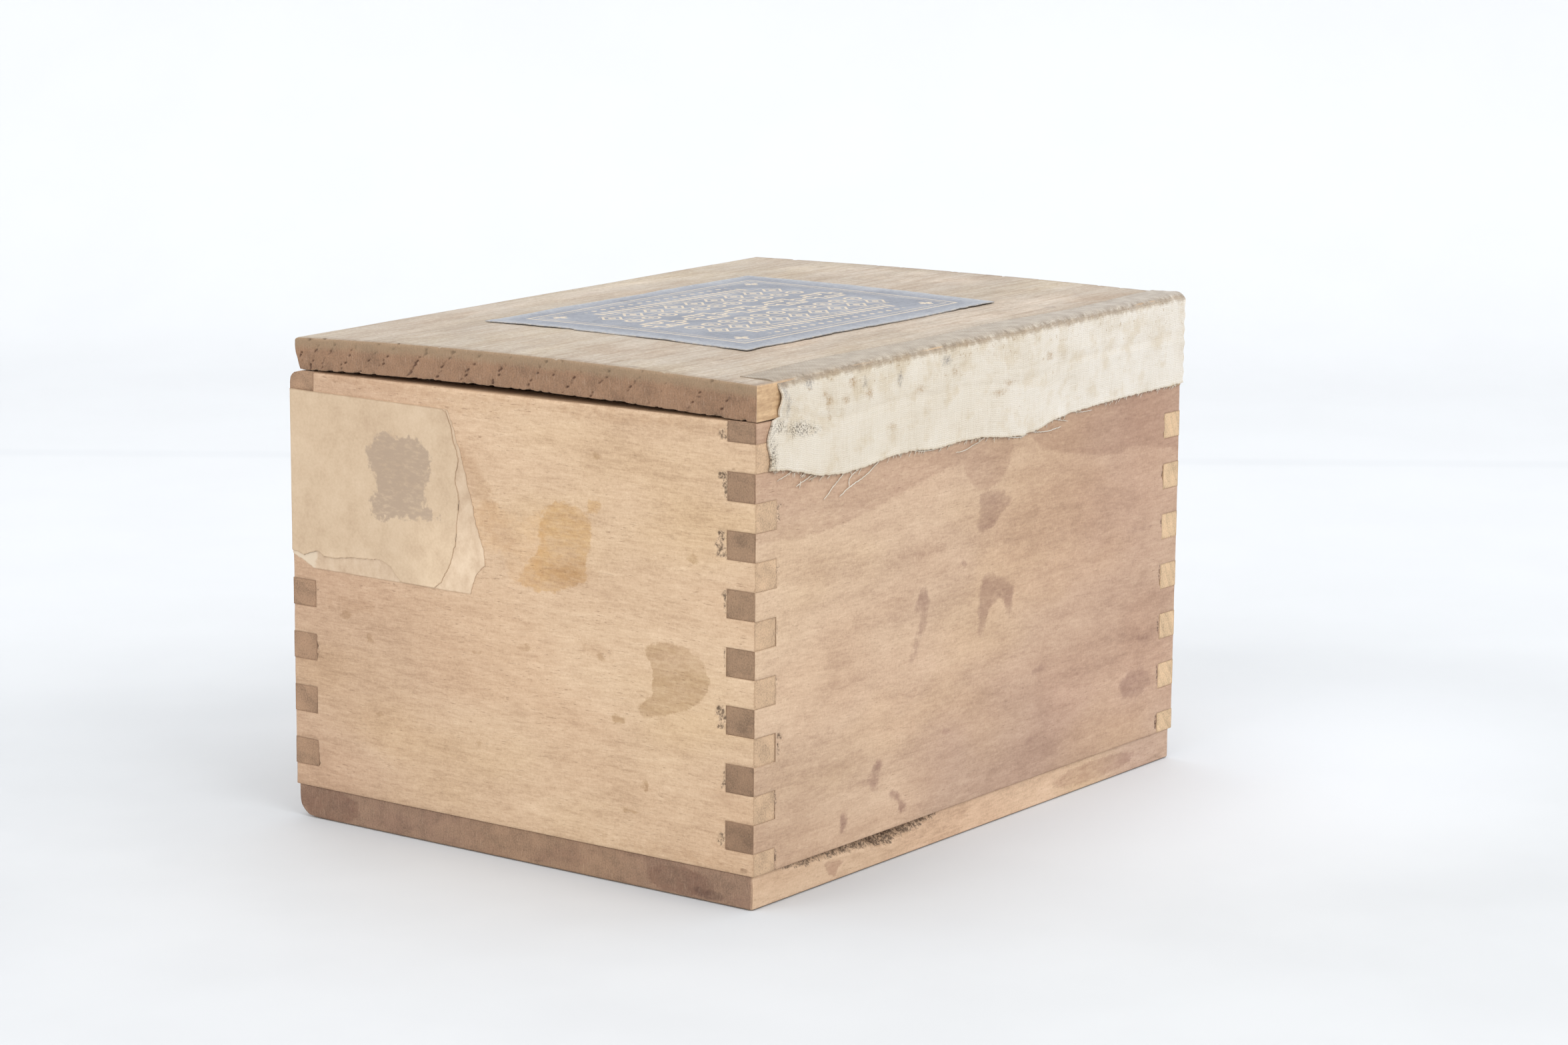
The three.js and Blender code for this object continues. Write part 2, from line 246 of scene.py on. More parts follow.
def bevelled(verts, faces, width, segments=2, angle=40):
    """The mesh with its sharp edges bevelled, as (points, faces)."""
    me = bpy.data.meshes.new("tmp")
    me.from_pydata([tuple(v) for v in verts], [], faces)
    bm = bmesh.new()
    bm.from_mesh(me)
    bmesh.ops.recalc_face_normals(bm, faces=bm.faces)
    bm.to_mesh(me)
    bm.free()
    ob = bpy.data.objects.new("tmp", me)
    bpy.context.scene.collection.objects.link(ob)
    m = ob.modifiers.new("bevel", "BEVEL")
    m.width, m.segments, m.limit_method, m.angle_limit = width, segments, "ANGLE", math.radians(angle)
    m.use_clamp_overlap = True
    deps = bpy.context.evaluated_depsgraph_get()
    out = bpy.data.meshes.new_from_object(ob.evaluated_get(deps))
    P = np.empty(len(out.vertices) * 3)
    out.vertices.foreach_get("co", P)
    F = [tuple(p.vertices) for p in out.polygons]
    bpy.data.objects.remove(ob)
    bpy.data.meshes.remove(me)
    bpy.data.meshes.remove(out)
    return P.reshape(-1, 3), F


def piece(name, P, F, mats, attrs=None, mat_index=None, smooth=True, sharp=48):
    """A mesh object in metres from box-frame millimetres."""
    Q = np.asarray(P, float) * MM
    Q[:, 0] += OX
    Q[:, 1] += OY
    me = bpy.data.meshes.new(name)
    me.from_pydata(Q.tolist(), [], F)
    if smooth:
        me.polygons.foreach_set("use_smooth", [True] * len(me.polygons))
        me.set_sharp_from_angle(angle=math.radians(sharp))
    for m in mats:
        me.materials.append(m)
    if mat_index is not None:
        me.polygons.foreach_set("material_index", np.asarray(mat_index, np.int32))
    for key, val in (attrs or {}).items():
        val = np.asarray(val, np.float32)
        if val.ndim == 1:
            a = me.attributes.new(key, "FLOAT", "POINT")
            a.data.foreach_set("value", val)
        else:
            a = me.attributes.new(key, "FLOAT_VECTOR", "POINT")
            a.data.foreach_set("vector", val.ravel())
    me.update()
    ob = bpy.data.objects.new(name, me)
    bpy.context.scene.collection.objects.link(ob)
    return ob


# ------------------------------------------------------------------ material plumbing
class Tree:
    def __init__(self, name, rough=0.6, spec=0.35):
        self.m = bpy.data.materials.new(name)
        self.m.use_nodes = True
        self.t = self.m.node_tree
        self.t.nodes.clear()
        out = self.t.nodes.new("ShaderNodeOutputMaterial")
        self.b = self.t.nodes.new("ShaderNodeBsdfPrincipled")
        self.t.links.new(self.b.outputs[0], out.inputs[0])
        self.b.inputs["Roughness"].default_value = rough
        self.b.inputs["Specular IOR Level"].default_value = spec
        self.tc = self.t.nodes.new("ShaderNodeTexCoord")
        self.P = self.vec("SCALE", self.tc.outputs["Object"], 1000.0)

    def put(self, sock, v):
        if isinstance(v, bpy.types.NodeSocket):
            self.t.links.new(v, sock)
        elif isinstance(v, (tuple, list)):
            if sock.type == "RGBA" and len(v) == 3:
                v = (*v, 1.0)
            sock.default_value = v
        else:
            sock.default_value = v

    def math(self, op, a, b=None, c=None, clamp=False):
        n = self.t.nodes.new("ShaderNodeMath")
        n.operation, n.use_clamp = op, clamp
        for k, v in enumerate((a, b, c)):
            if v is not None:
                self.put(n.inputs[k], v)
        return n.outputs[0]

    def add(self, *v):
        out = v[0]
        for w in v[1:]:
            out = self.math("ADD", out, w)
        return out

    def mul(self, a, b):
        return self.math("MULTIPLY", a, b)

    def vec(self, op, a, b=None):
        n = self.t.nodes.new("ShaderNodeVectorMath")
        n.operation = op
        self.put(n.inputs[0], a)
        if op == "SCALE":
            self.put(n.inputs["Scale"], b)
        elif b is not None:
            self.put(n.inputs[1], b)
        return n.outputs["Value"] if op in ("LENGTH", "DISTANCE", "DOT_PRODUCT") else n.outputs["Vector"]

    def xyz(self, v):
        n = self.t.nodes.new("ShaderNodeSeparateXYZ")
        self.put(n.inputs[0], v)
        return n.outputs[0], n.outputs[1], n.outputs[2]

    def join(self, x, y, z):
        n = self.t.nodes.new("ShaderNodeCombineXYZ")
        for k, v in enumerate((x, y, z)):
            self.put(n.inputs[k], v)
        return n.outputs[0]

    def noise(self, vec, scale, detail=2.0, rough=0.5, dist=0.0):
        n = self.t.nodes.new("ShaderNodeTexNoise")
        self.put(n.inputs["Vector"], vec)
        n.inputs["Scale"].default_value = scale
        n.inputs["Detail"].default_value = detail
        n.inputs["Roughness"].default_value = rough
        n.inputs["Distortion"].default_value = dist
        return n.outputs[0]

    def cells(self, vec, scale, out="Distance", rand=1.0):
        n = self.t.nodes.new("ShaderNodeTexVoronoi")
        self.put(n.inputs["Vector"], vec)
        n.inputs["Scale"].default_value = scale
        n.inputs["Randomness"].default_value = rand
        return n.outputs[out]

    def ramp(self, v, a, b, lo=0.0, hi=1.0, kind="SMOOTHSTEP"):
        n = self.t.nodes.new("ShaderNodeMapRange")
        n.interpolation_type = kind
        n.clamp = True if kind == "LINEAR" else n.clamp
        for k, w in enumerate((v, a, b, lo, hi)):
            self.put(n.inputs[k], w)
        return n.outputs[0]

    def mix(self, f, a, b, mode="MIX"):
        n = self.t.nodes.new("ShaderNodeMix")
        n.data_type, n.blend_type = "RGBA", mode
        self.put(n.inputs[0], f)
        self.put(n.inputs[6], a)
        self.put(n.inputs[7], b)
        return n.outputs[2]

    def grad(self, v, stops):
        n = self.t.nodes.new("ShaderNodeValToRGB")
        cr = n.color_ramp
        while len(cr.elements) < len(stops):
            cr.elements.new(0.5)
        for e, (p, c) in zip(cr.elements, stops):
            e.position, e.color = p, (*c, 1.0)
        self.put(n.inputs[0], v)
        return n.outputs[0]

    def attr(self, name, out="Fac"):
        n = self.t.nodes.new("ShaderNodeAttribute")
        n.attribute_name = name
        return n.outputs[out]

    def bump(self, h, mm, strength=1.0, normal=None):
        n = self.t.nodes.new("ShaderNodeBump")
        n.inputs["Strength"].default_value = strength
        n.inputs["Distance"].default_value = mm * MM
        self.put(n.inputs["Height"], h)
        if normal is not None:
            self.put(n.inputs["Normal"], normal)
        return n.outputs[0]


def wood(name, axis, dark, mid, light, end, seed=0.0, pith=(30.0, -60.0), ring=3.0, ring_k=0.1, streak=1.0, pore=0.35, blotch=1.0,
         layers=(), rough=0.62, smudge=0.3, end_pits=0.0, end_ring=0.12, grime=0.34, extra=None):
    t = Tree(name, rough)
    P = t.vec("ADD", t.P, (seed * 13.0, seed * 7.0, seed * 3.0))
    x, y, z = t.xyz(P)
    g, a, b = (x, y, z) if axis == "X" else (y, x, z)
    wander = t.noise(t.join(t.mul(g, 0.012), t.mul(a, 0.02), t.mul(b, 0.02)), 1.0, 1.0)
    wander = t.mul(t.add(wander, -0.5), 5.0)
    a2, b2 = t.add(a, wander), t.add(b, wander)

    def grain(kg, kc, detail=2.0, rgh=0.55):
        return t.noise(t.join(t.mul(g, kg), t.mul(a2, kc), t.mul(b2, kc)), 1.0, detail, rgh)

    hair = grain(0.42, 3.0, 3.0, 0.65)
    fine = grain(0.24, 1.3, 4.0, 0.66)
    medium = grain(0.045, 0.26, 3.0, 0.55)
    cloud = t.noise(t.join(t.mul(g, 0.4), a, b), 0.05, 3.0, 0.55)
    grit = t.noise(P, 1.5, 3.0, 0.7)
    dust = t.noise(P, 3.4, 2.0, 0.65)
    fleck = t.ramp(t.noise(t.join(t.mul(g, 0.55), a, b), 1.9, 3.0, 0.72), 0.63, 0.74)
    mottle = t.noise(t.join(t.mul(g, 0.45), a, b), 0.24, 4.0, 0.6)
    r = t.vec("LENGTH", t.join(t.add(a2, -pith[0]), t.add(b2, -pith[1]), 0.0))
    r = t.math("DIVIDE", t.add(r, t.mul(t.add(cloud, -0.5), ring * 4.0)), ring)
    saw = t.math("FRACT", r)
    late = t.mul(t.ramp(saw, 0.25, 0.93), t.ramp(saw, 0.93, 1.0, 1.0, 0.0))
    tone = t.add(t.mul(t.add(hair, -0.5), 0.62 * streak), t.mul(t.add(fine, -0.5), 0.62 * streak), t.mul(t.add(medium, -0.5), 0.55 * blotch), t.mul(t.add(cloud, -0.5), 1.15 * blotch),
                 t.mul(t.add(mottle, -0.5), 0.75 * blotch), t.mul(t.add(grit, -0.5), 0.50), t.mul(t.add(dust, -0.5), 0.40), t.mul(late, -ring_k), 0.5 + ring_k * 0.4)
    col = t.grad(tone, [(0.12, dark), (0.5, mid), (0.88, light)])
    # soft patches of a pinker and a yellower tone
    hue = t.noise(t.join(t.mul(g, 0.5), a, b), 0.036, 2.0, 0.5)
    col = t.mix(t.ramp(hue, 0.42, 0.68, 0.0, 0.8), col, (0.960, 0.918, 0.898), "MULTIPLY")
    col = t.mix(t.ramp(hue, 0.52, 0.30, 0.0, 0.7), col, (1.0, 0.985, 0.90), "MULTIPLY")
    # open pores: short dark dashes, gathered in places
    pores = t.ramp(grain(0.62, 4.4, 2.0, 0.5), 0.62, 0.76)
    where = t.ramp(t.add(mottle, t.mul(t.add(cloud, -0.5), 0.8)), 0.44, 0.66, 0.10, 1.0)
    col = t.mix(t.mul(t.mul(pores, where), pore), col, (0.42, 0.33, 0.26), "MULTIPLY")
    col = t.mix(t.mul(t.mul(fleck, t.ramp(cloud, 0.35, 0.65, 0.2, 1.0)), pore * 0.8), col, (0.55, 0.45, 0.37), "MULTIPLY")
    sm = t.ramp(t.noise(t.join(t.mul(g, 0.5), a, b), 0.16, 4.0, 0.65), 0.56, 0.74)
    sm = t.mul(sm, t.ramp(t.add(hair, t.mul(grit, 0.5)), 0.55, 0.9, 0.35, 1.0))
    col = t.mix(t.mul(sm, smudge), col, (0.62, 0.54, 0.50), "MULTIPLY")
    # end grain
    n = t.xyz(t.tc.outputs["Normal"])[0 if axis == "X" else 1]
    e = t.ramp(t.math("ABSOLUTE", n), 0.55, 0.85)
    speck = t.noise(t.join(0.0, a, b), 3.0, 3.0, 0.6)
    ecol = t.grad(t.add(t.mul(t.add(speck, -0.5), 1.0), t.mul(t.add(mottle, -0.5), 0.8), t.mul(late, -end_ring), 0.5 + end_ring * 0.4),
                  [(0.2, tuple(c * 0.66 for c in end)), (0.5, end), (0.85, tuple(c * 1.28 for c in end))])
    dots = t.ramp(t.cells(t.join(0.0, a, b), 1.7), 0.16, 0.07)
    ecol = t.mix(t.mul(t.mul(dots, t.ramp(mottle, 0.4, 0.6)), 0.3 + end_pits), ecol, (0.45, 0.36, 0.30), "MULTIPLY")
    col = t.mix(e, col, ecol)
    rag1 = t.noise(P, 0.6, 5.0, 0.68)
    rag2 = t.noise(t.join(t.mul(g, 0.35), a, b), 1.3, 3.0, 0.6)
    for key, tint, strength, soft, rag in layers:
        d = t.add(t.attr(key), t.mul(t.add(rag1, -0.5), rag * 1.3), t.mul(t.add(rag2, -0.5), rag * 0.8))
        m = t.ramp(d, soft, -soft)
        m = t.mul(m, t.mul(t.ramp(t.add(mottle, t.mul(t.add(rag2, -0.5), 0.8)), 0.25, 0.75, 0.42, 1.0), strength))
        col = t.mix(m, col, tint, "MULTIPLY")
    # grime in the joints and along the edges, torn and chipped places
    d = t.add(t.attr("edge"), t.mul(t.add(rag1, -0.5), 0.5))
    grime_k = t.mul(t.ramp(d, 0.30, 0.02), t.ramp(mottle, 0.3, 0.7, 0.5, 1.0))
    col = t.mix(t.mul(grime_k, grime), col, (0.42, 0.34, 0.28), "MULTIPLY")
    chip = t.attr("chip")
    fib = t.noise(P, 2.1, 3.0, 0.7)
    ccol = t.grad(t.add(t.mul(t.add(fib, -0.5), 1.9), t.mul(t.attr("deep"), -0.30), 0.52), [(0.2, tuple(c * 0.30 for c in dark)), (0.42, tuple(c * 0.74 for c in mid)), (0.66, tuple(c * 1.12 for c in mid))])
    col = t.mix(t.mul(t.ramp(chip, 0.15, 0.6), 0.9), col, ccol)
    height = t.add(t.mul(hair, 0.3), t.mul(fine, 0.45), t.mul(pores, -0.6), t.mul(rag2, 0.3), t.mul(t.mul(e, speck), 0.6), t.mul(t.mul(e, dots), -0.8))
    rr = t.add(rough - 0.06, t.mul(fine, 0.16), t.mul(e, 0.06))
    if extra:
        col, height, rr = extra(t, col, height, rr, dict(x=x, y=y, z=z, fine=fine, hair=hair, mottle=mottle, cloud=cloud, rag1=rag1, rag2=rag2, e=e))
    t.put(t.b.inputs["Base Color"], col)
    t.put(t.b.inputs["Roughness"], rr)
    t.put(t.b.inputs["Normal"], t.bump(height, 0.10, 0.7))
    return t.m


# linear colours
END_D, END_M, END_L = (0.389, 0.252, 0.152), (0.546, 0.380, 0.244), (0.662, 0.488, 0.328)
LONG_D, LONG_M, LONG_L = (0.398, 0.258, 0.172), (0.548, 0.383, 0.261), (0.672, 0.496, 0.348)
LONG_END = (0.262, 0.162, 0.098)
END_END = (0.525, 0.358, 0.226)
BASE_D, BASE_M, BASE_L = (0.396, 0.259, 0.165), (0.572, 0.396, 0.259), (0.682, 0.495, 0.341)
BASE_END = (0.262, 0.160, 0.104)
LID_D, LID_M, LID_L = (0.280, 0.224, 0.168), (0.405, 0.336, 0.263), (0.514, 0.442, 0.361)
LID_END = (0.254, 0.144, 0.082)


# ------------------------------------------------------------------ walls
def comb_mask(U, V, reach, notch, owns_lowest):
    uc, vc = (U[:-1] + U[1:]) / 2, (V[:-1] + V[1:]) / 2
    k = np.searchsorted(SHOULDERS, vc)
    out = (k % 2 == 0) if owns_lowest else (k % 2 == 1)
    return (np.abs(uc)[:, None] < notch) | out[None, :]


def comb_outline(reach, notch, owns_lowest):
    pts, out = [], owns_lowest
    pts.append((reach if out else notch, BASE_T))
    for z in SHOULDERS:
        pts.append((reach if out else notch, z))
        out = not out
        pts.append((reach if out else notch, z))
    pts.append((reach if out else notch, WALL_TOP))
    return pts + [(-a, z) for a, z in reversed(pts)]


def board_wall(reach, notch, owns_lowest, seed, chips_at=(), fine_u=0.45):
    """(points (u, v, w), faces, attributes) of a comb-jointed wall, w from the outer face."""
    U = lines(-reach, -notch, notch, reach, fine=fine_u, coarse=1.5, near=3.2)
    V = lines(BASE_T, *SHOULDERS, WALL_TOP, fine=0.6, coarse=0.9, near=3.0)
    W = np.array([0, 1.0, 3.2, 5.4, WT])
    P, F = slab(U, V, comb_mask(U, V, reach, notch, owns_lowest), W)
    P, F = bevelled(P, F, 0.08, 2)
    u, v, w = P[:, 0].copy(), P[:, 1].copy(), P[:, 2].copy()
    outline = comb_outline(reach, notch, owns_lowest)
    d_out = np.abs(poly_sdf(u, v, outline))
    face = (w < 0.2) | (w > WT - 0.2)
    d_side = np.minimum(w, WT - w)
    sh = np.min(np.abs(v[:, None] - np.array([BASE_T] + SHOULDERS + [WALL_TOP])[None, :]), axis=1)
    edge = np.where(face, d_out, np.minimum(np.maximum(d_side, 0), np.maximum(sh, 0.0)))
    # torn fibres beside the shoulders of the other board's fingers
    S = np.stack([u, v, np.full_like(u, seed * 3.7)], 1)
    inner = np.clip(notch - np.abs(u), 0, 9)
    k = np.searchsorted(SHOULDERS, v)
    socket = (k % 2 == 1) if owns_lowest else (k % 2 == 0)      # a finger of the other board ends here
    mid_v = np.array([BASE_T] + SHOULDERS + [WALL_TOP])
    lo = mid_v[np.clip(k, 0, len(mid_v) - 2)]
    hi = mid_v[np.clip(k + 1, 0, len(mid_v) - 1)]
    in_v = np.minimum(v - lo, hi - v)
    ragged = fbm(S, 0.9, 3, seed + 5)
    lucky = np.array([rnd(seed, a, b) for a, b in zip((u > 0).astype(int).tolist(), k.tolist())])
    chip = 0.8 * step(ragged + 0.05 - inner * 0.5 + (lucky - 0.72) * 0.9, 0.0, 0.28) * (socket & (np.abs(u) < notch + 0.01)) * step(in_v, -0.1, 0.5) * (w < 0.2)
    for cu, cv, ru, rv, k_ in chips_at:
        q = 1.25 - np.sqrt(((u - cu) / (ru * 1.15)) ** 2 + ((v - cv) / (rv * 1.1)) ** 2) + 0.75 * fbm(S, 1.6, 3, seed + 9)
        chip = np.maximum(chip, k_ * step(q, 0.1, 0.5) * (w < 0.2) * (np.abs(u) < notch + 0.02))
    deep = step(fbm(S, 1.9, 2, seed + 11) * 0.5 + 0.5, 0.35, 0.65) * chip
    # finger ends stand a touch proud or shy, the face is never dead flat
    finger = np.abs(u) > notch - 0.3
    per = np.array([rnd(seed + 31, a, b) for a, b in zip((u > 0).astype(int).tolist(), k.tolist())])
    du = np.where(finger & (np.abs(u) > reach - 0.4), (per - 0.62) * 0.14, 0.0)
    dw = 0.10 * fbm(S, 0.035, 2, seed + 3) + 0.025 * fbm(S, 0.5, 2, seed + 4)
    dw = dw + np.where(finger, (per - 0.45) * 0.06, 0.0)
    dw = np.where(w < WT / 2, dw, -0.4 * dw)
    dw = dw + (w < 0.2) * (0.16 * chip + 0.34 * deep * chip)
    P = np.stack([u + np.sign(u) * du, v, w + dw], 1)
    attrs = {"edge": edge, "chip": chip, "deep": deep}
    return P, F, attrs, (u, v, w)


def wear_corner(P, axis_a, sa, axis_b, sb, r, seed, amount=1.0):
    """Rounds a convex edge of the mesh where coordinate a is near sa and b near sb (signed faces)."""
    a = (abs(sa) - P[:, axis_a] * np.sign(sa)) if sa != 0 else None
    b = (abs(sb) - P[:, axis_b] * np.sign(sb))
    R = r * (1 + 0.5 * fbm(P, 0.09, 3, seed)) * amount
    px, py = R - np.clip(a, 0, None), R - np.clip(b, 0, None)
    inside = (px > 0) & (py > 0)
    m = np.maximum(px, py)
    n = np.sqrt(px * px + py * py) + 1e-9
    k = np.where(inside, m / n, 1.0)
    na, nb = R - px * k, R - py * k
    Q = P.copy()
    Q[:, axis_a] = np.where(inside, np.sign(sa) * (abs(sa) - na), P[:, axis_a])
    Q[:, axis_b] = np.where(inside, np.sign(sb) * (abs(sb) - nb), P[:, axis_b])
    return Q


def end_shade(t, col, height, rr, k):
    # painted shade: the front third of the end board is darkened towards the front, where the light falls off
    f = t.ramp(t.xyz(t.P)[1], 5.0, -52.0)
    col = t.mix(t.mul(f, 0.9), col, (0.865, 0.825, 0.84), "MULTIPLY")
    return col, height, rr


def back_shade(t, col, height, rr, k):
    x, y, z = t.xyz(t.P)
    col = t.mix(t.mul(t.ramp(x, 20.0, -60.0), 0.85), col, (0.85, 0.795, 0.815), "MULTIPLY")
    col = t.mix(t.mul(t.mul(t.ramp(x, 22.0, 62.0), t.ramp(z, 84.0, 60.0)), t.ramp(z, 24.0, 40.0)), col, (1.05, 1.06, 1.05), "MULTIPLY")
    col = t.mix(t.mul(t.ramp(x, 40.0, 64.0), t.ramp(z, 34.0, 16.0)), col, (0.90, 0.875, 0.86), "MULTIPLY")
    low = t.mul(t.mul(t.ramp(z, 40.0, 14.0), t.ramp(x, 34.0, 8.0)), t.ramp(x, -50.0, -20.0))
    return t.mix(t.mul(low, 0.95), col, (0.83, 0.80, 0.835), "MULTIPLY"), height, rr


# --- right end wall (+X)
chips_right = [
    (49.6, 87.0, 0.8, 1.0, 0.9), (49.5, 79.9, 1.0, 0.5, 0.9), (50.2, 77.5, 0.4, 1.9, 0.8),
    (49.2, 68.6, 1.0, 0.9, 1.0), (49.0, 66.4, 0.9, 1.5, 1.0), (50.1, 65.2, 0.5, 0.6, 0.9),
    (50.0, 57.8, 0.6, 0.7, 0.8), (50.2, 56.0, 0.35, 1.4, 0.7), (50.3, 46.5, 0.3, 1.6, 0.6),
    (49.1, 36.4, 0.8, 1.1, 1.0), (49.8, 35.0, 0.9, 0.8, 1.0), (49.3, 33.6, 0.7, 0.5, 0.9),
    (50.2, 24.0, 0.35, 1.4, 0.7), (49.7, 22.4, 0.4, 0.4, 0.6), (49.8, 13.4, 0.6, 0.9, 0.9), (49.5, 11.8, 0.7, 0.5, 1.0),
]
P, F, A, (u, v, w) = board_wall(YO, YI, True, 11, chips_right)
X = np.stack([XO - P[:, 2], P[:, 0], P[:, 1]], 1)
y_, z_ = u, v
outer = (w < 0.3)
big = np.where(outer, 0.0, 20.0)
A["st_yellow"] = big + union(
    poly_sdf(y_, z_, [(6.5, 66), (8.5, 70.2), (13, 71), (18.5, 69), (19.4, 65.5), (18, 60), (17.8, 56.5), (12, 54), (6.5, 53), (1, 54.2), (3, 57.5), (6, 60), (7, 63)]),
    poly_sdf(y_, z_, [(18.6, 71.9), (21.3, 71.9), (21.2, 69.6), (18.5, 69.7)]))
A["st_pale"] = big + union(poly_sdf(y_, z_, [(-10, 68.5), (-4, 69), (2, 66.5), (8, 69), (9, 61), (2, 59), (-6, 59.5), (-10, 62.5)]), poly_sdf(y_, z_, [(-3, 62), (7, 62), (7, 53.5), (0, 53.8)]))
A["st_brown"] = big + union(
    poly_sdf(y_, z_, [(31.5, 46), (36, 47.4), (41, 47.2), (45.5, 45), (47, 41.5), (45.6, 38), (41, 35.2), (35.5, 33.2), (31, 33), (29.8, 34.5), (33.5, 37), (33.8, 41.5)]),
    blob(y_, z_, 42.8, 63.7, 1.4, 0.9), blob(y_, z_, 3.2, 42, 1.5, 0.8), blob(y_, z_, 21.3, 42.8, 0.9, 0.7), blob(y_, z_, -9.4, 39.4, 1.5, 0.35),
    blob(y_, z_, -42.6, 42.4, 1.3, 0.9), blob(y_, z_, -36.6, 38.6, 1.1, 0.8), blob(y_, z_, 20.2, 80.2, 1.3, 0.6), blob(y_, z_, -34, 24, 1.0, 0.5),
    blob(y_, z_, 25.5, 31.5, 1.5, 1.0), blob(y_, z_, 31.8, 19.7, 0.9, 1.1), blob(y_, z_, 28.5, 14.5, 1.5, 0.5), blob(y_, z_, -8, 22, 0.9, 0.5))
A["st_dirt"] = big + union(blob(y_, z_, -9, 73, 7, 2.2, -50), blob(y_, z_, -3.5, 64, 5, 2.5, -35), blob(y_, z_, 14, 58, 6, 2.5), blob(y_, z_, 20, 44, 3.5, 1.4, -10), blob(y_, z_, -40, 44.5, 6, 1.2),
                           blob(y_, z_, -20, 88.6, 30, 1.0, -1), blob(y_, z_, 30, 88.3, 22, 0.9), blob(y_, z_, -15, 86.5, 10, 1.0, 3), blob(y_, z_, 38, 8, 10, 1.0))
A["st_dark"] = big + union(blob(y_, z_, -16.3, 28.4, 0.62, 0.26), blob(y_, z_, 6.1, 24.0, 0.5, 0.42), blob(y_, z_, 54.8, 7.4, 1.0, 0.5),
                           line_dist(y_, z_, [(38.8, 31.5), (37, 28.8), (34.5, 26)]) - 0.07, line_dist(y_, z_, [(-34, 50.1), (-10, 49.9)]) - 0.1)
X = wear_corner(X, 0, XO, 1, YO, 0.32, 3)
X = wear_corner(X, 0, XO, 1, -YO, 0.8, 4)
X = wear_corner(X, 0, XO, 2, WALL_TOP, 0.45, 5)
m_right = wood("end_wall_wood", "Y", END_D, END_M, END_L, END_END, seed=1.0, pith=(140, -40), ring=2.2, ring_k=0.05, streak=1.0, pore=0.55, blotch=0.55, end_pits=0.35, end_ring=0.05, extra=end_shade, layers=[
    ("st_pale", (1.0, 0.92, 0.79), 0.6, 0.8, 3.5), ("st_yellow", (0.88, 0.77, 0.56), 0.95, 0.3, 2.4), ("st_brown", (0.72, 0.66, 0.56), 0.95, 0.2, 1.5), ("st_dirt", (0.78, 0.70, 0.62), 0.6, 1.0, 4.0),
    ("st_dark", (0.34, 0.27, 0.22), 0.85, 0.08, 0.25)])
right_end = piece("right_end_board", X, F, [m_right], A)
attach(right_end, "box")
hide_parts("right_end_wall")

# --- left end wall (-X)
P, F, A, (u, v, w) = board_wall(YO, YI, True, 23)
X = np.stack([-XO + P[:, 2], P[:, 0], P[:, 1]], 1)
outer = (w < 0.3)
big = np.where(outer, 0.0, 20.0)
A["st_brown"] = big + union(blob(u, v, -20, 60, 6, 3, 20), blob(u, v, 30, 25, 9, 4, -15), blob(u, v, 12, 40, 1.4, 0.8), blob(u, v, -38, 30, 1.2, 0.9), blob(u, v, 36, 74, 1.8, 0.8))
A["st_dark"] = big + union(blob(u, v, 5, 20, 0.6, 0.4), blob(u, v, -28, 47, 0.5, 0.5), line_dist(u, v, [(-12, 66), (2, 63.5), (9, 63)]) - 0.08)
X = wear_corner(X, 0, -XO, 1, YO, 0.3, 13)
X = wear_corner(X, 0, -XO, 1, -YO, 0.7, 14)
X = wear_corner(X, 0, -XO, 2, WALL_TOP, 0.45, 15)
m_left = wood("end_wall_wood_b", "Y", END_D, END_M, END_L, (0.600, 0.420, 0.258), seed=2.0, pith=(-150, 120), ring=2.4, ring_k=0.05, streak=1.0, pore=0.5, blotch=0.7, layers=[
    ("st_brown", (0.80, 0.72, 0.60), 0.7, 0.4, 2.6), ("st_dark", (0.4, 0.33, 0.27), 0.8, 0.1, 0.3)])
left_end = piece("left_end_board", X, F, [m_left], A)
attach(left_end, "box")
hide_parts("left_end_wall")

# --- back wall (+Y)
chips_back = [
    (68.2, 72.6, 0.5, 1.6, 0.8), (67.6, 74.0, 0.5, 0.4, 0.7), (67.3, 31.4, 0.6, 0.5, 1.0), (67.6, 29.4, 0.4, 1.1, 0.8), (68.3, 42.0, 0.25, 1.0, 0.5),
    (68.2, 8.8, 0.3, 1.9, 0.9), (68.4, 20.0, 0.25, 1.2, 0.6), (68.3, 51.0, 0.2, 1.4, 0.5),
    (-68.3, 62.6, 0.25, 2.0, 0.5), (-68.2, 41.5, 0.3, 1.8, 0.8), (-68.2, 30.2, 0.3, 1.8, 0.8), (-68.2, 19.0, 0.3, 1.8, 0.9), (-68.3, 52.0, 0.25, 1.8, 0.6), (-68.2, 9.0, 0.4, 1.4, 0.9),
]
P, F, A, (u, v, w) = board_wall(XO, XI, False, 37, chips_back)
X = np.stack([P[:, 0], YO - P[:, 2], P[:, 1]], 1)
outer = (w < 0.3)
big = np.where(outer, 0.0, 20.0)
x_, z_ = u, v
A["st_band"] = big + poly_sdf(x_, z_, [(80, 68.5), (66, 67.6), (56, 67.3), (46, 68.2), (36, 69.8), (27, 71.6), (18, 73.2), (8.5, 74.4), (6.5, 71.5), (3.5, 68.8), (-1, 67.8), (-5.5, 69), (-8.5, 72), (-10.5, 77.5),
                                       (-16, 77.0), (-21, 73.5), (-30, 71.5), (-44, 69.5), (-58, 70), (-80, 66), (-80, 100), (80, 100)])
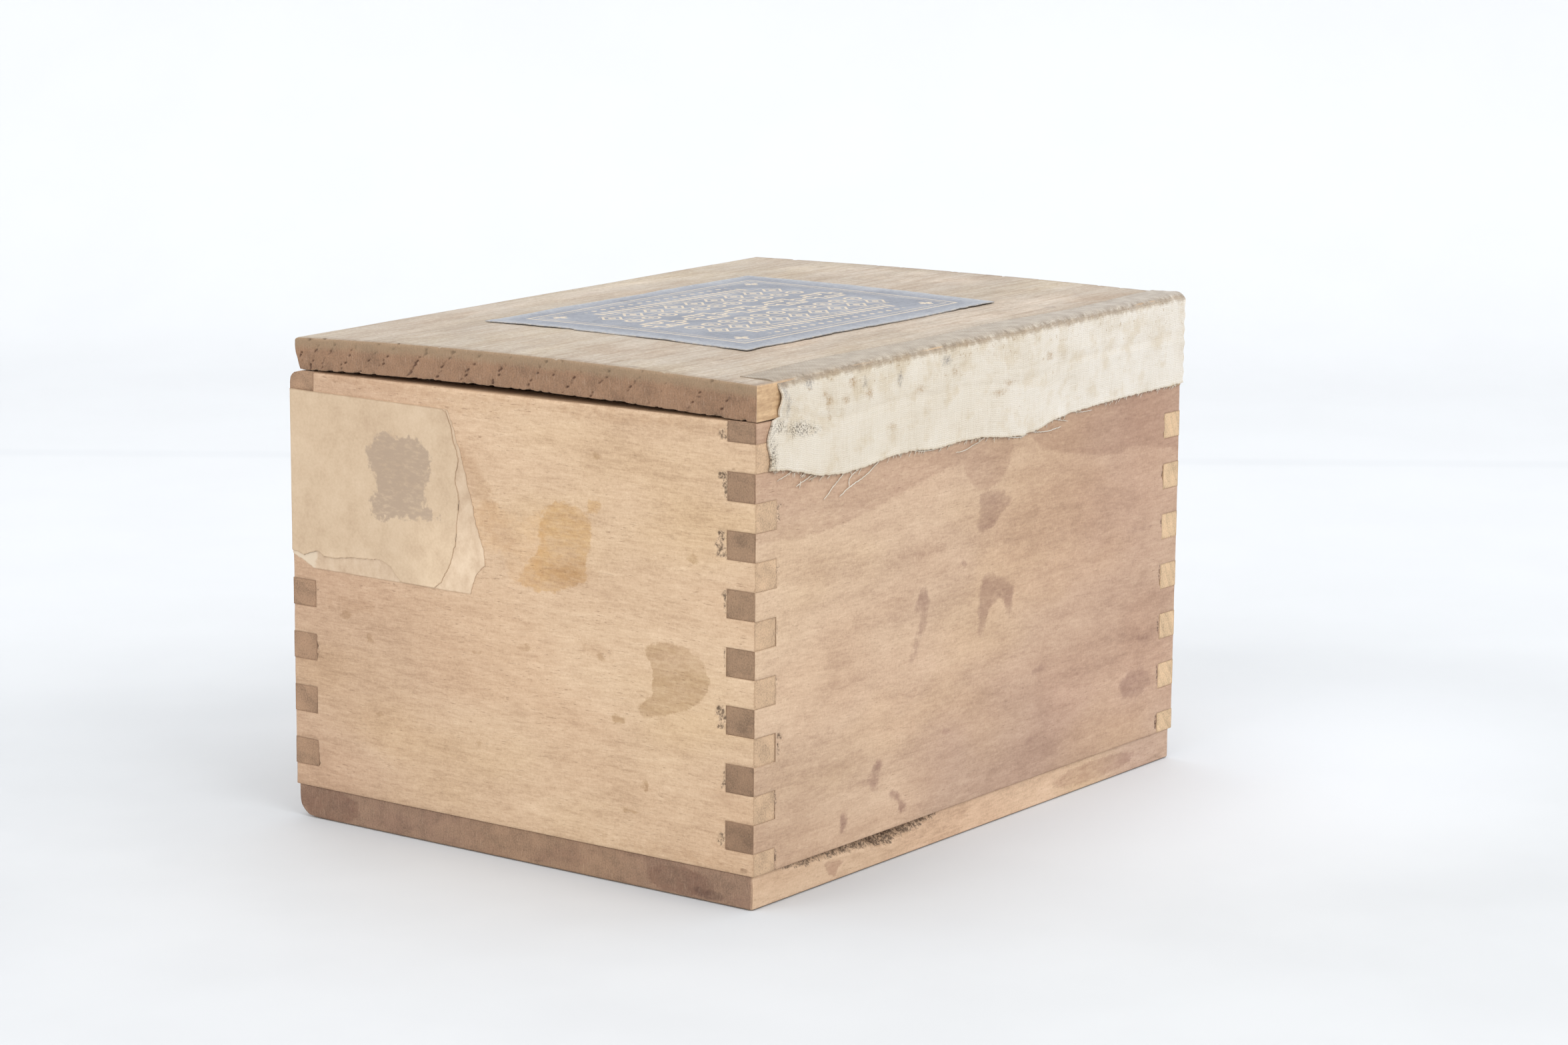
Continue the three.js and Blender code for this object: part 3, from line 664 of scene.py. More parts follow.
A["st_brown"] = big + union(
    poly_sdf(x_, z_, [(2.0, 67.3), (-3, 67.6), (-7, 66.6), (-9.6, 64.8), (-6.5, 62.5), (-3, 60.2), (0.5, 59.3), (3.4, 62.0), (2.8, 62.4), (1.2, 61.5), (1.6, 64.5)]),
    poly_sdf(x_, z_, [(1.3, 48), (0.5, 50.5), (-3, 51.3), (-8, 49), (-11, 46.5), (-10, 41.6), (-8.5, 42.3), (-7.5, 44.8), (-5, 45.6), (-1.8, 44.0), (-0.3, 38.4), (1.4, 38.6), (1.7, 45)]),
    poly_sdf(x_, z_, [(24.6, 47.4), (23, 49.5), (22.6, 51.5), (20.2, 51.3), (19, 49), (19.8, 45), (22, 41.5), (24.4, 38), (25.6, 37.2), (25.2, 38.8), (22.8, 43), (21.4, 46.5), (22.2, 48.2), (24.4, 46.8)]),
    blob(x_, z_, 37.5, 16.5, 2.4, 1.0, 20), blob(x_, z_, 36.4, 19.0, 1.6, 1.3), blob(x_, z_, 27.4, 9.6, 1.0, 0.7), line_dist(x_, z_, [(31.5, 13.3), (28.6, 12.2), (27.4, 9.8)]) - 0.5,
    blob(x_, z_, 47.0, 10.8, 1.2, 1.6), blob(x_, z_, -20.5, 28.6, 2.2, 0.5, -10), blob(x_, z_, -62, 28.5, 2.5, 0.6), blob(x_, z_, -60, 52, 3.0, 0.5), blob(x_, z_, 7.2, 54.5, 0.8, 0.4),
    blob(x_, z_, -59, 19, 6, 3), blob(x_, z_, -9.5, 42.2, 1.0, 0.9))
A["st_smut"] = big + union(blob(x_, z_, 37.4, 17.2, 1.9, 1.3, 25), blob(x_, z_, 35.4, 19.9, 1.2, 0.9, 40), blob(x_, z_, 27.4, 10.2, 0.9, 1.1), blob(x_, z_, 46.8, 11.6, 1.1, 1.9, 15), blob(x_, z_, 29.2, 12.7, 1.6, 0.45, 30),
                           blob(x_, z_, 12.5, 22.0, 1.6, 0.5, 20), blob(x_, z_, -18.0, 14.5, 1.8, 0.6, -15))
A["st_dark"] = big + union(blob(x_, z_, 36.2, 19.2, 0.7, 0.5), blob(x_, z_, 27.3, 9.5, 0.45, 0.35), blob(x_, z_, -66.5, 81.2, 1.2, 0.5), line_dist(x_, z_, [(46, 67.0), (48.5, 66.2), (50, 67.3)]) - 0.12)
A["st_red"] = big + union(blob(x_, z_, 15, 30, 30, 12, 5), blob(x_, z_, -30, 55, 34, 14, -4), blob(x_, z_, -50, 20, 30, 10))
X = wear_corner(X, 1, YO, 0, XO, 0.32, 6)
X = wear_corner(X, 1, YO, 0, -XO, 0.6, 7)
X = wear_corner(X, 1, YO, 2, WALL_TOP, 0.35, 8)
m_back = wood("back_wall_wood", "X", LONG_D, LONG_M, LONG_L, LONG_END, seed=3.0, pith=(90, 150), ring=5.2, ring_k=0.05, streak=0.85, pore=0.36, blotch=0.66, extra=back_shade, layers=[
    ("st_red", (1.0, 0.95, 0.95), 0.6, 6.0, 5.0), ("st_band", (0.80, 0.745, 0.74), 1.0, 0.45, 1.5), ("st_brown", (0.67, 0.61, 0.625), 1.0, 0.6, 2.0), ("st_smut", (0.74, 0.67, 0.69), 0.9, 0.6, 1.8), ("st_dark", (0.5, 0.46, 0.46), 0.8, 0.15, 0.4)])
back_wall = piece("back_board", X, F, [m_back], A)
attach(back_wall, "box")
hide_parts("back_wall")

# --- front wall (-Y), top outer edge rounded
P, F, A, (u, v, w) = board_wall(XO, XI, False, 53)
X = np.stack([P[:, 0], -YO + P[:, 2], P[:, 1]], 1)
outer = (w < 0.3)
big = np.where(outer, 0.0, 20.0)
A["st_brown"] = big + union(blob(u, v, -25, 78, 18, 5, 3), blob(u, v, 20, 30, 8, 4, 10), blob(u, v, -48, 40, 3, 2), blob(u, v, 45, 55, 4, 2, 30), blob(u, v, 4, 84, 16, 3))
A["st_dark"] = big + union(blob(u, v, -12, 58, 0.8, 0.5), blob(u, v, 33, 44, 0.6, 0.6), line_dist(u, v, [(-40, 60), (-28, 57), (-20, 57.5)]) - 0.1)
X = wear_corner(X, 1, -YO, 2, WALL_TOP, 2.6, 9)
X = wear_corner(X, 1, -YO, 0, XO, 0.5, 16)
X = wear_corner(X, 1, -YO, 0, -XO, 0.5, 17)
m_front = wood("front_wall_wood", "X", LONG_D, LONG_M, LONG_L, (0.318, 0.195, 0.118), seed=4.0, pith=(-120, -90), ring=4.4, ring_k=0.06, streak=0.85, pore=0.4, blotch=0.75, layers=[
    ("st_brown", (0.82, 0.76, 0.72), 0.7, 1.2, 3.0), ("st_dark", (0.45, 0.4, 0.38), 0.8, 0.12, 0.4)])
front_wall = piece("front_board", X, F, [m_front], A)
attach(front_wall, "box")
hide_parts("front_wall")

def base_shade(t, col, height, rr, k):
    x, y, z = t.xyz(t.P)
    long_face = t.math("SUBTRACT", 1.0, k["e"])
    col = t.mix(t.mul(long_face, t.mul(t.ramp(x, 45.0, 10.0), t.ramp(x, -50.0, -20.0))), col, (1.10, 1.10, 1.12), "MULTIPLY")
    col = t.mix(t.mul(long_face, t.ramp(x, -38.0, -62.0)), col, (0.86, 0.84, 0.93), "MULTIPLY")
    # saw and handling scratches across the end grain, with a purple-brown bloom
    scr = t.noise(t.join(0.0, t.mul(k["y"], 2.6), t.mul(k["z"], 0.45)), 1.0, 4.0, 0.65)
    col = t.mix(t.mul(k["e"], t.ramp(scr, 0.52, 0.74, 0.0, 0.34)), col, (0.42, 0.29, 0.20))
    col = t.mix(t.mul(k["e"], t.ramp(scr, 0.46, 0.28, 0.0, 0.34)), col, (0.155, 0.090, 0.058))
    bloom = t.ramp(t.noise(t.join(0.0, t.mul(y, 0.5), z), 0.22, 4.0, 0.6), 0.46, 0.66)
    col = t.mix(t.mul(t.mul(k["e"], bloom), 0.55), col, (0.84, 0.79, 0.82), "MULTIPLY")
    col = t.mix(t.mul(k["e"], t.mul(t.ramp(y, -25.0, 0.0), t.ramp(y, 38.0, 20.0))), col, (1.08, 1.08, 1.02), "MULTIPLY")
    return col, height, rr


# ------------------------------------------------------------------ bottom board
BX, BY = XO - 0.3, YO - 0.5
gx = np.array(sorted(set(np.round(np.concatenate([lines(-BX, 12.0, fine=0.5, coarse=2.0, near=1.2), np.arange(12.0, 67.0, 0.45), lines(67.0, BX, fine=0.5, coarse=1.2, near=1.2)]), 4))))
gy = lines(-BY, -BY + 5.2, 46.0, BY, fine=0.6, coarse=2.4, near=2.4)
gz = lines(0.0, BASE_T, fine=0.42, coarse=0.5, near=1.0)
P, F = boxgrid(gx, gy, gz)
P, F = bevelled(P, F, 0.18, 2)
x, y, z = P.T.copy()
edge = np.sort(np.stack([BX - np.abs(x), BY - np.abs(y), np.minimum(z, BASE_T - z)], 1), axis=1)[:, 1]
edge = np.where(z < 0.5, edge + 0.4, edge)
# eroded gouge along the top of the back face, under the wall
lip = np.interp(x, [13, 15.5, 20, 25, 29, 31.5, 33.5, 38, 44, 50, 56, 61, 65, 67], [0, 0.9, 1.7, 2.3, 2.6, 3.6, 2.9, 2.3, 1.9, 1.6, 1.5, 1.1, 0.8, 0])
S3 = np.stack([x, y * 0, z], 1)
rag = fbm(S3, (0.8, 1, 1.1), 3, 91)
lip = np.clip(lip + rag * 0.55 * (lip > 0.05), 0, 9)
cut = np.interp(x, [13, 18, 28, 32, 40, 55, 67], [0, 1.6, 2.9, 3.6, 2.4, 1.6, 0])
inside_g = np.clip(1 - (BASE_T - z) / np.maximum(lip, 0.05), 0, 1) * (lip > 0.05)
depth = cut * np.sqrt(np.clip(inside_g, 0, 1)) * (0.75 + 0.45 * fbm(S3, (2.2, 1, 1.4), 3, 93))
near_back = step(y, BY - 7.5, BY)
y2 = y - depth * np.where(y > BY - 0.25, 1.0, near_back)
chip = np.where((y > BY - 0.3) & (inside_g > 0.02), 1.0, 0.0)
deep = np.clip(depth / 2.4, 0, 1) * chip + 0.6 * (fbm(S3, (1.1, 1, 1.1), 2, 97) > 0.05) * chip
P = np.stack([x, y2, z], 1)
# quarter-round along the front lower edge
R = 5.0 + 0.25 * fbm(P, 0.06, 2, 71)
py, pz = R - (P[:, 1] + BY), R - P[:, 2]
ins = (py > 0) & (pz > 0)
mx, nn = np.maximum(py, pz), np.sqrt(py * py + pz * pz) + 1e-9
k = np.where(ins, mx / nn, 1.0)
P[:, 1] = np.where(ins, -BY + R - py * k, P[:, 1])
P[:, 2] = np.where(ins, R - pz * k, P[:, 2])
for sx in (-1, 1):
    P = wear_corner(P, 0, sx * BX, 1, BY, 0.7, 72)
    P = wear_corner(P, 0, sx * BX, 1, -BY, 0.9, 73)
low = P[:, 2] < 0.35
edge_low = np.minimum(BX - np.abs(P[:, 0]), BY - P[:, 1])
P[:, 2] += np.where(low & (edge_low < 0.9), (0.9 - edge_low) * 0.25, 0)      # worn lower edges
P[:, 0] += np.where(np.abs(P[:, 0]) > BX - 0.3, np.sign(P[:, 0]) * 0.06 * fbm(P, 0.3, 2, 74), 0)
A = {"edge": edge, "chip": chip, "deep": np.clip(deep, 0, 1)}
out_b = np.where(y > BY - 0.4, 0.0, 20.0)
out_r = np.where(x > BX - 0.4, 0.0, 20.0)
A["st_brown"] = union(out_b + poly_sdf(x, z, [(52.4, 3.9), (49, 4.2), (45.5, 3.2), (47.5, 2.4), (48.5, 0.9), (50.5, 1.3)]), out_b + blob(x, z, -44, 3.2, 16, 2.0), out_r + blob(y, z, 40, 3, 8, 2.6), out_r + blob(y, z, -49, 3.2, 9, 3.6))
A["st_dark"] = union(out_r + blob(y, z, 47.5, 1.4, 3.0, 0.9), out_r + blob(y, z, 44.0, 2.0, 0.9, 0.6), out_r + blob(y, z, 5.5, 0.9, 1.2, 0.3), out_b + blob(x, z, 43.5, 5.6, 2.0, 0.5))
m_base = wood("base_wood", "X", BASE_D, BASE_M, BASE_L, BASE_END, seed=5.0, pith=(60, -70), ring=3.2, ring_k=0.08, streak=0.9, pore=0.35, blotch=0.8, smudge=0.5, end_ring=0.05, extra=base_shade, layers=[
    ("st_brown", (0.70, 0.62, 0.61), 0.95, 0.3, 1.2), ("st_dark", (0.50, 0.46, 0.47), 0.85, 0.3, 0.9)])
base = piece("bottom_board", P, F, [m_base], A)
# drilled for the brads
cut_me = bpy.data.meshes.new("brad_holes")
bm = bmesh.new()
for n_ in [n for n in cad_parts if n.startswith("brad_")]:
    lo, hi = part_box(n_)
    c = ((lo[0] + hi[0]) / 2, (lo[1] + hi[1]) / 2)
    bmesh.ops.create_cone(bm, cap_ends=True, segments=20, radius1=1.3 * MM, radius2=1.3 * MM, depth=2.8 * MM, matrix=Matrix.Translation((c[0], c[1], -0.05 * MM)))
bm.to_mesh(cut_me)
bm.free()
cutter = bpy.data.objects.new("brad_holes", cut_me)
bpy.context.scene.collection.objects.link(cutter)
mod = base.modifiers.new("holes", "BOOLEAN")
mod.operation, mod.object, mod.solver = "DIFFERENCE", cutter, "EXACT"
bpy.context.view_layer.update()
me2 = bpy.data.meshes.new_from_object(base.evaluated_get(bpy.context.evaluated_depsgraph_get()))
base.modifiers.clear()
base.data = me2
me2.name = "bottom_board"
bpy.data.objects.remove(cutter)
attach(base, "box")
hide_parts("base_board")


# ------------------------------------------------------------------ lid
def warp(x, y):
    u_, v_ = (XO - x) / 150.0, (YO - y) / 114.0
    cup = (CUP + (CUPF - CUP) * u_) * (1 - (y / YO) ** 2)
    return WALL_TOP + LID_GAP + RISE * u_ + TWIST * u_ * v_ + cup


def lid_thick(y):
    return LID_T + (LID_TF - LID_T) * (YO - y) / 114.0


lx = lines(-XO, XO, fine=0.4, coarse=1.9, near=2.4)
ly = lines(LID_FRONT, YO, fine=0.42, coarse=0.55, near=3.4)
lz = np.linspace(0, 1, 18)
P, F = boxgrid(lx, ly, lz)
P[:, 2] *= LID_T
P, F = bevelled(P, F, 0.16, 2)
x, y, z = P.T.copy()
z0 = z.copy()
edge = np.sort(np.stack([XO - np.abs(x), np.minimum(YO - y, y - LID_FRONT), np.minimum(z, LID_T - z)], 1), axis=1)[:, 1]
S = np.stack([x, y, z], 1)
on_end = np.abs(x) > XO - 0.25
endS = np.stack([y, z, np.sign(x) * 9.0], 1)
# pits and torn pores in the end grain, strung along slanting lines
pit = np.zeros(len(x))
for s_, sg in ((0, 1.0), (1, -1.0)):
    own = on_end & (np.sign(x) == sg)
    yy, zz = y[own], z[own]
    acc = np.zeros(len(yy))
    yc = -54.0
    a = 0
    while yc < 55:
        cnt = 5 + int(8 * rnd(s_, a, 2))
        if rnd(s_, a, 9) < 0.18:
            cnt = 2
        for b in range(cnt):
            tz = (b + rnd(s_, a, b, 3)) / cnt
            cy = yc + (tz - 0.5) * 6.0 + (rnd(s_, a, b, 4) - 0.5) * 1.0
            cz = tz * LID_T
            ra, rb = 0.11 + 0.12 * rnd(s_, a, b, 5) ** 2, 0.22 + 0.62 * rnd(s_, a, b, 6) ** 2
            dy, dz = yy - cy, zz - cz
            al, ac = dy * 0.6 + dz * 0.8, dy * 0.8 - dz * 0.6
            acc = np.maximum(acc, np.clip(1.3 - np.sqrt((ac / ra) ** 2 + (al / rb) ** 2), 0, 1) * (0.35 + 0.65 * rnd(s_, a, b, 7)))
        yc += 3.2 + 5.2 * rnd(s_, a, 8) + (1.6 if yc > 10 else 0)
        a += 1
    pit[own] = acc
# nicks along the top and bottom arris of the end grain
nick = step(fbm(np.stack([y, y * 0, np.sign(x)], 1), 0.55, 3, 41), 0.34, 0.62) * step(2.2 - (LID_T - z), 0.4, 1.9)
nick2 = step(fbm(np.stack([y, y * 0, np.sign(x) + 5], 1), 1.0, 4, 43, 0.6), 0.02, 0.5) * step(1.3 - z, 0.1, 1.2)
dx = np.where(on_end, -np.sign(x) * (0.5 * pit + 0.18 * nick + 0.3 * nick2 + 0.05 * (fbm(endS, 1.4, 3, 44) + 1)), 0)
near_end = np.abs(x) > XO - 1.2
z = z + np.where(near_end & (z0 < 0.3), 0.6 * nick2 * step(np.abs(x), XO - 1.2, XO) * (0.5 + 0.5 * fbm(np.stack([y, y * 0, x * 0], 1), 1.6, 2, 45)), 0)
z = z - np.where(near_end & (z0 > LID_T - 0.3), 0.35 * nick * step(np.abs(x), XO - 1.2, XO), 0)
# thickness runs out a little to the front, the front edge is undercut and its top rounded over
z = z * lid_thick(y) / LID_T
f = np.interp(z, [0, 2.4, 4.6, 5.4, 7], [1.75, 1.05, 0.12, 0.0, 0.0])
y = y + f * step(-44.0 - y, 0, 11.9)
P = np.stack([x + dx, y, z], 1)
top = lid_thick(y)
# rounding of the front top edge, the corners in plan and a light wear on the rest
for (ra, sgn) in ((1.5, -1),):
    R = ra * (1 + 0.25 * fbm(P, 0.05, 2, 47))
    a_, b_ = P[:, 1] - LID_FRONT, top - P[:, 2]
    px, py = R - np.clip(a_, 0, None), R - np.clip(b_, 0, None)
    ins = (px > 0) & (py > 0)
    k = np.where(ins, np.maximum(px, py) / (np.sqrt(px * px + py * py) + 1e-9), 1.0)
    P[:, 1] = np.where(ins, LID_FRONT + R - px * k, P[:, 1])
    P[:, 2] = np.where(ins, top - R + py * k, P[:, 2])
for sx, rr_ in ((1, 0.8), (-1, 1.7)):
    P = wear_corner(P, 0, sx * XO, 1, LID_FRONT, rr_, 48)
    P = wear_corner(P, 0, sx * XO, 1, YO, 0.5, 49)
R = 0.45 * (1 + 0.6 * fbm(P, 0.12, 3, 50))
for ax, face in ((0, XO), (0, -XO), (1, YO)):
    a_ = abs(face) - P[:, ax] * np.sign(face)
    b_ = top - P[:, 2]
    px, py = R - np.clip(a_, 0, None), R - np.clip(b_, 0, None)
    ins = (px > 0) & (py > 0)
    k = np.where(ins, np.maximum(px, py) / (np.sqrt(px * px + py * py) + 1e-9), 1.0)
    P[:, ax] = np.where(ins, np.sign(face) * (abs(face) - (R - px * k)), P[:, ax])
    P[:, 2] = np.where(ins, top - (R - py * k), P[:, 2])
P[:, 2] += warp(P[:, 0], P[:, 1]) + 0.05 * fbm(S, 0.06, 2, 51)
top_side = z0 > LID_T - 0.5
A = {"edge": edge + np.where(z0 < 0.4, 0.3, 0.0), "chip": pit * 0, "deep": pit * 0, "pit": np.clip(pit * 1.5, 0, 1),
     "topside": step(z0, 1.2, 6.2)}
bigt = np.where(top_side, 0.0, 20.0)
A["st_brown"] = bigt + union(blob(x, y, 57, 37, 6, 4.5), blob(x, y, 20, 42, 22, 4.2, 3), blob(x, y, -58, 46, 16, 4, 4), blob(x, y, 62, 50, 9, 4), blob(x, y, 34, -45, 7, 5, 20), blob(x, y, 60, 10, 5, 30), blob(x, y, 30, 35.5, 12, 2.2, -4))
A["st_dark"] = bigt + union(blob(x, y, -36, 51.8, 2.6, 0.8, 25), blob(x, y, -40, 46, 1.6, 1.2), blob(x, y, 69.5, 44, 1.4, 0.5, 30), blob(x, y, 34, 53.0, 1.2, 0.7), blob(x, y, 7, 51.5, 1.1, 0.7, 30), blob(x, y, -11, 34.5, 1.1, 0.4, 30), blob(x, y, 57.5, 35.5, 1.2, 0.8),
                            blob(x, y, 73.6, 28, 0.5, 1.0), line_dist(x, y, [(30.5, 36.5), (38, 43), (41, 46.5)]) - 0.16, blob(x, y, -66, -30, 1.4, 1.0), blob(x, y, 63, -20, 1.0, 0.5))
A["st_pale"] = bigt + union(poly_sdf(x, y, [(7, 45.5), (6, 38), (20, 37), (40, 39), (40, 33), (-50, 33), (-60, 40), (-52, 46)]), blob(x, y, 59, 36, 1.9, 1.5), blob(x, y, -62, -10, 8, 26), blob(x, y, 0, -48, 40, 4))


def lid_extra(t, col, height, rr, k):
    # the underside and the hidden edges are cleaner, redder wood than the weathered top
    ts = t.attr("topside")
    lines_ = t.noise(t.join(t.mul(k["x"], 0.035), t.mul(k["y"], 0.85), t.mul(k["z"], 0.85)), 1.0, 5.0, 0.62)
    broad = t.noise(t.join(t.mul(k["x"], 0.018), t.mul(k["y"], 0.09), k["z"]), 1.0, 3.0, 0.5)
    utone = t.add(t.mul(t.add(lines_, -0.5), 0.9), t.mul(t.add(broad, -0.5), 0.9), t.mul(t.add(k["fine"], -0.5), 0.22), 0.5)
    under = t.grad(utone, [(0.2, (0.385, 0.255, 0.165)), (0.5, (0.475, 0.330, 0.220)), (0.8, (0.565, 0.405, 0.275))])
    up = t.xyz(t.tc.outputs["Normal"])[2]
    m = t.ramp(up, -0.2, 0.35)
    m2 = t.math("MAXIMUM", m, k["e"])
    col = t.mix(m2, under, col)
    col = t.mix(t.mul(t.ramp(t.attr("pit"), 0.1, 0.7), 0.85), col, (0.30, 0.20, 0.15), "MULTIPLY")
    # the end grain is scratched along the thickness and greyed towards its top arris
    scr = t.noise(t.join(0.0, t.mul(k["y"], 3.2), t.mul(k["z"], 0.55)), 1.0, 3.0, 0.6)
    col = t.mix(t.mul(k["e"], t.ramp(scr, 0.5, 0.75, 0.0, 0.35)), col, (0.43, 0.30, 0.21))
    col = t.mix(t.mul(k["e"], t.ramp(scr, 0.45, 0.25, 0.0, 0.3)), col, (0.17, 0.095, 0.055))
    col = t.mix(t.mul(k["e"], t.ramp(t.add(t.attr("topside"), t.mul(t.add(k["rag1"], -0.5), 0.5)), 0.55, 1.0, 0.0, 0.5)), col, (0.29, 0.215, 0.13))
    # raw, lighter edge at the hinge side
    back = t.ramp(t.xyz(t.tc.outputs["Normal"])[1], 0.6, 0.9)
    raw = t.mix(t.ramp(t.add(k["fine"], t.mul(k["rag1"], 0.5)), 0.5, 1.0), (0.42, 0.26, 0.14), (0.66, 0.45, 0.26))
    col = t.mix(t.mul(back, t.math("SUBTRACT", 1.0, k["e"])), col, raw)
    # grey film of dust and handling on top
    film = t.ramp(t.noise(t.vec("MULTIPLY", t.P, (0.45, 1.0, 1.0)), 0.13, 6.0, 0.66), 0.36, 0.66)
    g = t.mul(t.ramp(up, 0.7, 0.95), t.mul(film, 0.45))
    col = t.mix(g, col, (0.46, 0.405, 0.34))
    grit2 = t.noise(t.P, 1.3, 4.0, 0.7)
    col = t.mix(t.mul(t.ramp(up, 0.7, 0.95), t.ramp(grit2, 0.42, 0.62, 0.36, 0.0)), col, (0.62, 0.54, 0.46), "MULTIPLY")
    # the grain still shows through the film as fine darker lines along the board
    thin = t.noise(t.join(t.mul(k["x"], 0.05), t.mul(k["y"], 1.7), 0.0), 1.0, 4.0, 0.68)
    col = t.mix(t.mul(t.ramp(up, 0.7, 0.95), t.ramp(lines_, 0.55, 0.36, 0.0, 0.55)), col, (0.76, 0.70, 0.63), "MULTIPLY")
    col = t.mix(t.mul(t.ramp(up, 0.7, 0.95), t.ramp(thin, 0.50, 0.34, 0.0, 0.50)), col, (0.72, 0.65, 0.58), "MULTIPLY")
    col = t.mix(t.mul(t.ramp(up, 0.7, 0.95), t.ramp(broad, 0.5, 0.7, 0.0, 0.5)), col, (1.07, 1.06, 1.05), "MULTIPLY")
    sc = t.noise(t.join(t.mul(k["x"], 0.8), t.mul(k["y"], 0.5), 0.0), 2.6, 4.0, 0.7)
    spots = t.mul(t.ramp(t.cells(t.P, 0.35), 0.10, 0.03), t.ramp(up, 0.7, 0.95))
    col = t.mix(t.mul(spots, 0.45), col, (0.42, 0.36, 0.30), "MULTIPLY")
    col = t.mix(t.mul(t.ramp(sc, 0.6, 0.8), t.mul(t.ramp(up, 0.7, 0.95), 0.3)), col, (0.50, 0.445, 0.38))
    rimd = t.ramp(t.add(t.attr("edge"), t.mul(t.add(k["rag1"], -0.5), 3.0)), 2.6, -0.2)
    col = t.mix(t.mul(t.mul(rimd, t.ramp(up, 0.6, 0.95)), 0.55), col, (0.60, 0.52, 0.44), "MULTIPLY")
    rr = t.add(rr, t.mul(t.ramp(up, 0.7, 0.95), t.mul(t.add(film, -0.6), -0.12)))
    return col, height, rr


m_lid = wood("lid_wood", "X", LID_D, LID_M, LID_L, LID_END, seed=6.0, pith=(-10, -20), ring=3.4, ring_k=0.03, streak=0.7, pore=0.3, blotch=0.55, end_pits=0.1, end_ring=0.05, rough=0.56, smudge=0.5, layers=[
    ("st_pale", (1.28, 1.30, 1.34), 0.9, 2.5, 3.0), ("st_brown", (0.86, 0.80, 0.74), 0.6, 1.2, 4.0), ("st_dark", (0.42, 0.36, 0.32), 0.8, 0.25, 0.9)], extra=lid_extra)
lid = piece("lid_board", P, F, [m_lid], A)
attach(lid, "lid")
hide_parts("lid")


def lid_surface(x, y):
    return warp(x, y) + lid_thick(y)


# ------------------------------------------------------------------ cloth hinge tape
FOLD_Z = WALL_TOP
HEM = [(-75.2, 81.2), (-68, 81.0), (-58, 80.8), (-48, 80.6), (-38, 80.2), (-29, 79.7), (-24, 79.2), (-18, 77.9), (-12, 77.3), (-6, 77.8), (2, 78.7), (10, 78.8), (18, 78.4), (26, 79.0), (34, 78.8),
       (42.5, 77.8), (49, 77.5), (56, 78.1), (62, 79.4), (66, 80.3), (71.4, 80.8)]
HX, HZ = np.array(HEM).T
TAPE_T = 0.38


def tape_path(x, near_edge):
    """(y, z) points for one thread line at x, from the hem up over the fold and onto the lid."""
    z_h = float(np.interp(x, HX, HZ)) + 0.22 * (rnd(int(x * 7 + 900), 5) - 0.5)
    zb = warp(x, YO)                      # lid's lower back arris
    zt = lid_surface(x, YO)
    lap = 48.9 + 0.6 * math.sin(x * 0.11) + 1.2 * step(np.array([x]), 20, -40)[0] * 1.0 + 0.35 * (rnd(int(x * 5 + 400), 6) - 0.5)
    r = 1.5
    pts = [(YO, z_h)]
    n = 14
    for k in range(1, n + 1):
        pts.append((YO, z_h + (FOLD_Z - 0.5 - z_h) * k / n))
    pts.append((YO + 0.06, FOLD_Z))
    pts.append((YO, FOLD_Z + 0.5))
    top_end = zt - r
    n = 12
    for k in range(1, n + 1):
        pts.append((YO, FOLD_Z + 0.5 + (top_end - FOLD_Z - 0.5) * k / n))
    for k in range(1, 7):
        a = math.pi / 2 * k / 6
        pts.append((YO - r + r * math.cos(a), top_end + r * math.sin(a)))
    n = 13
    y1 = YO - r
    for k in range(1, n + 1):
        yy = y1 + (lap - y1) * k / n
        pts.append((yy, lid_surface(x, yy)))
    return pts


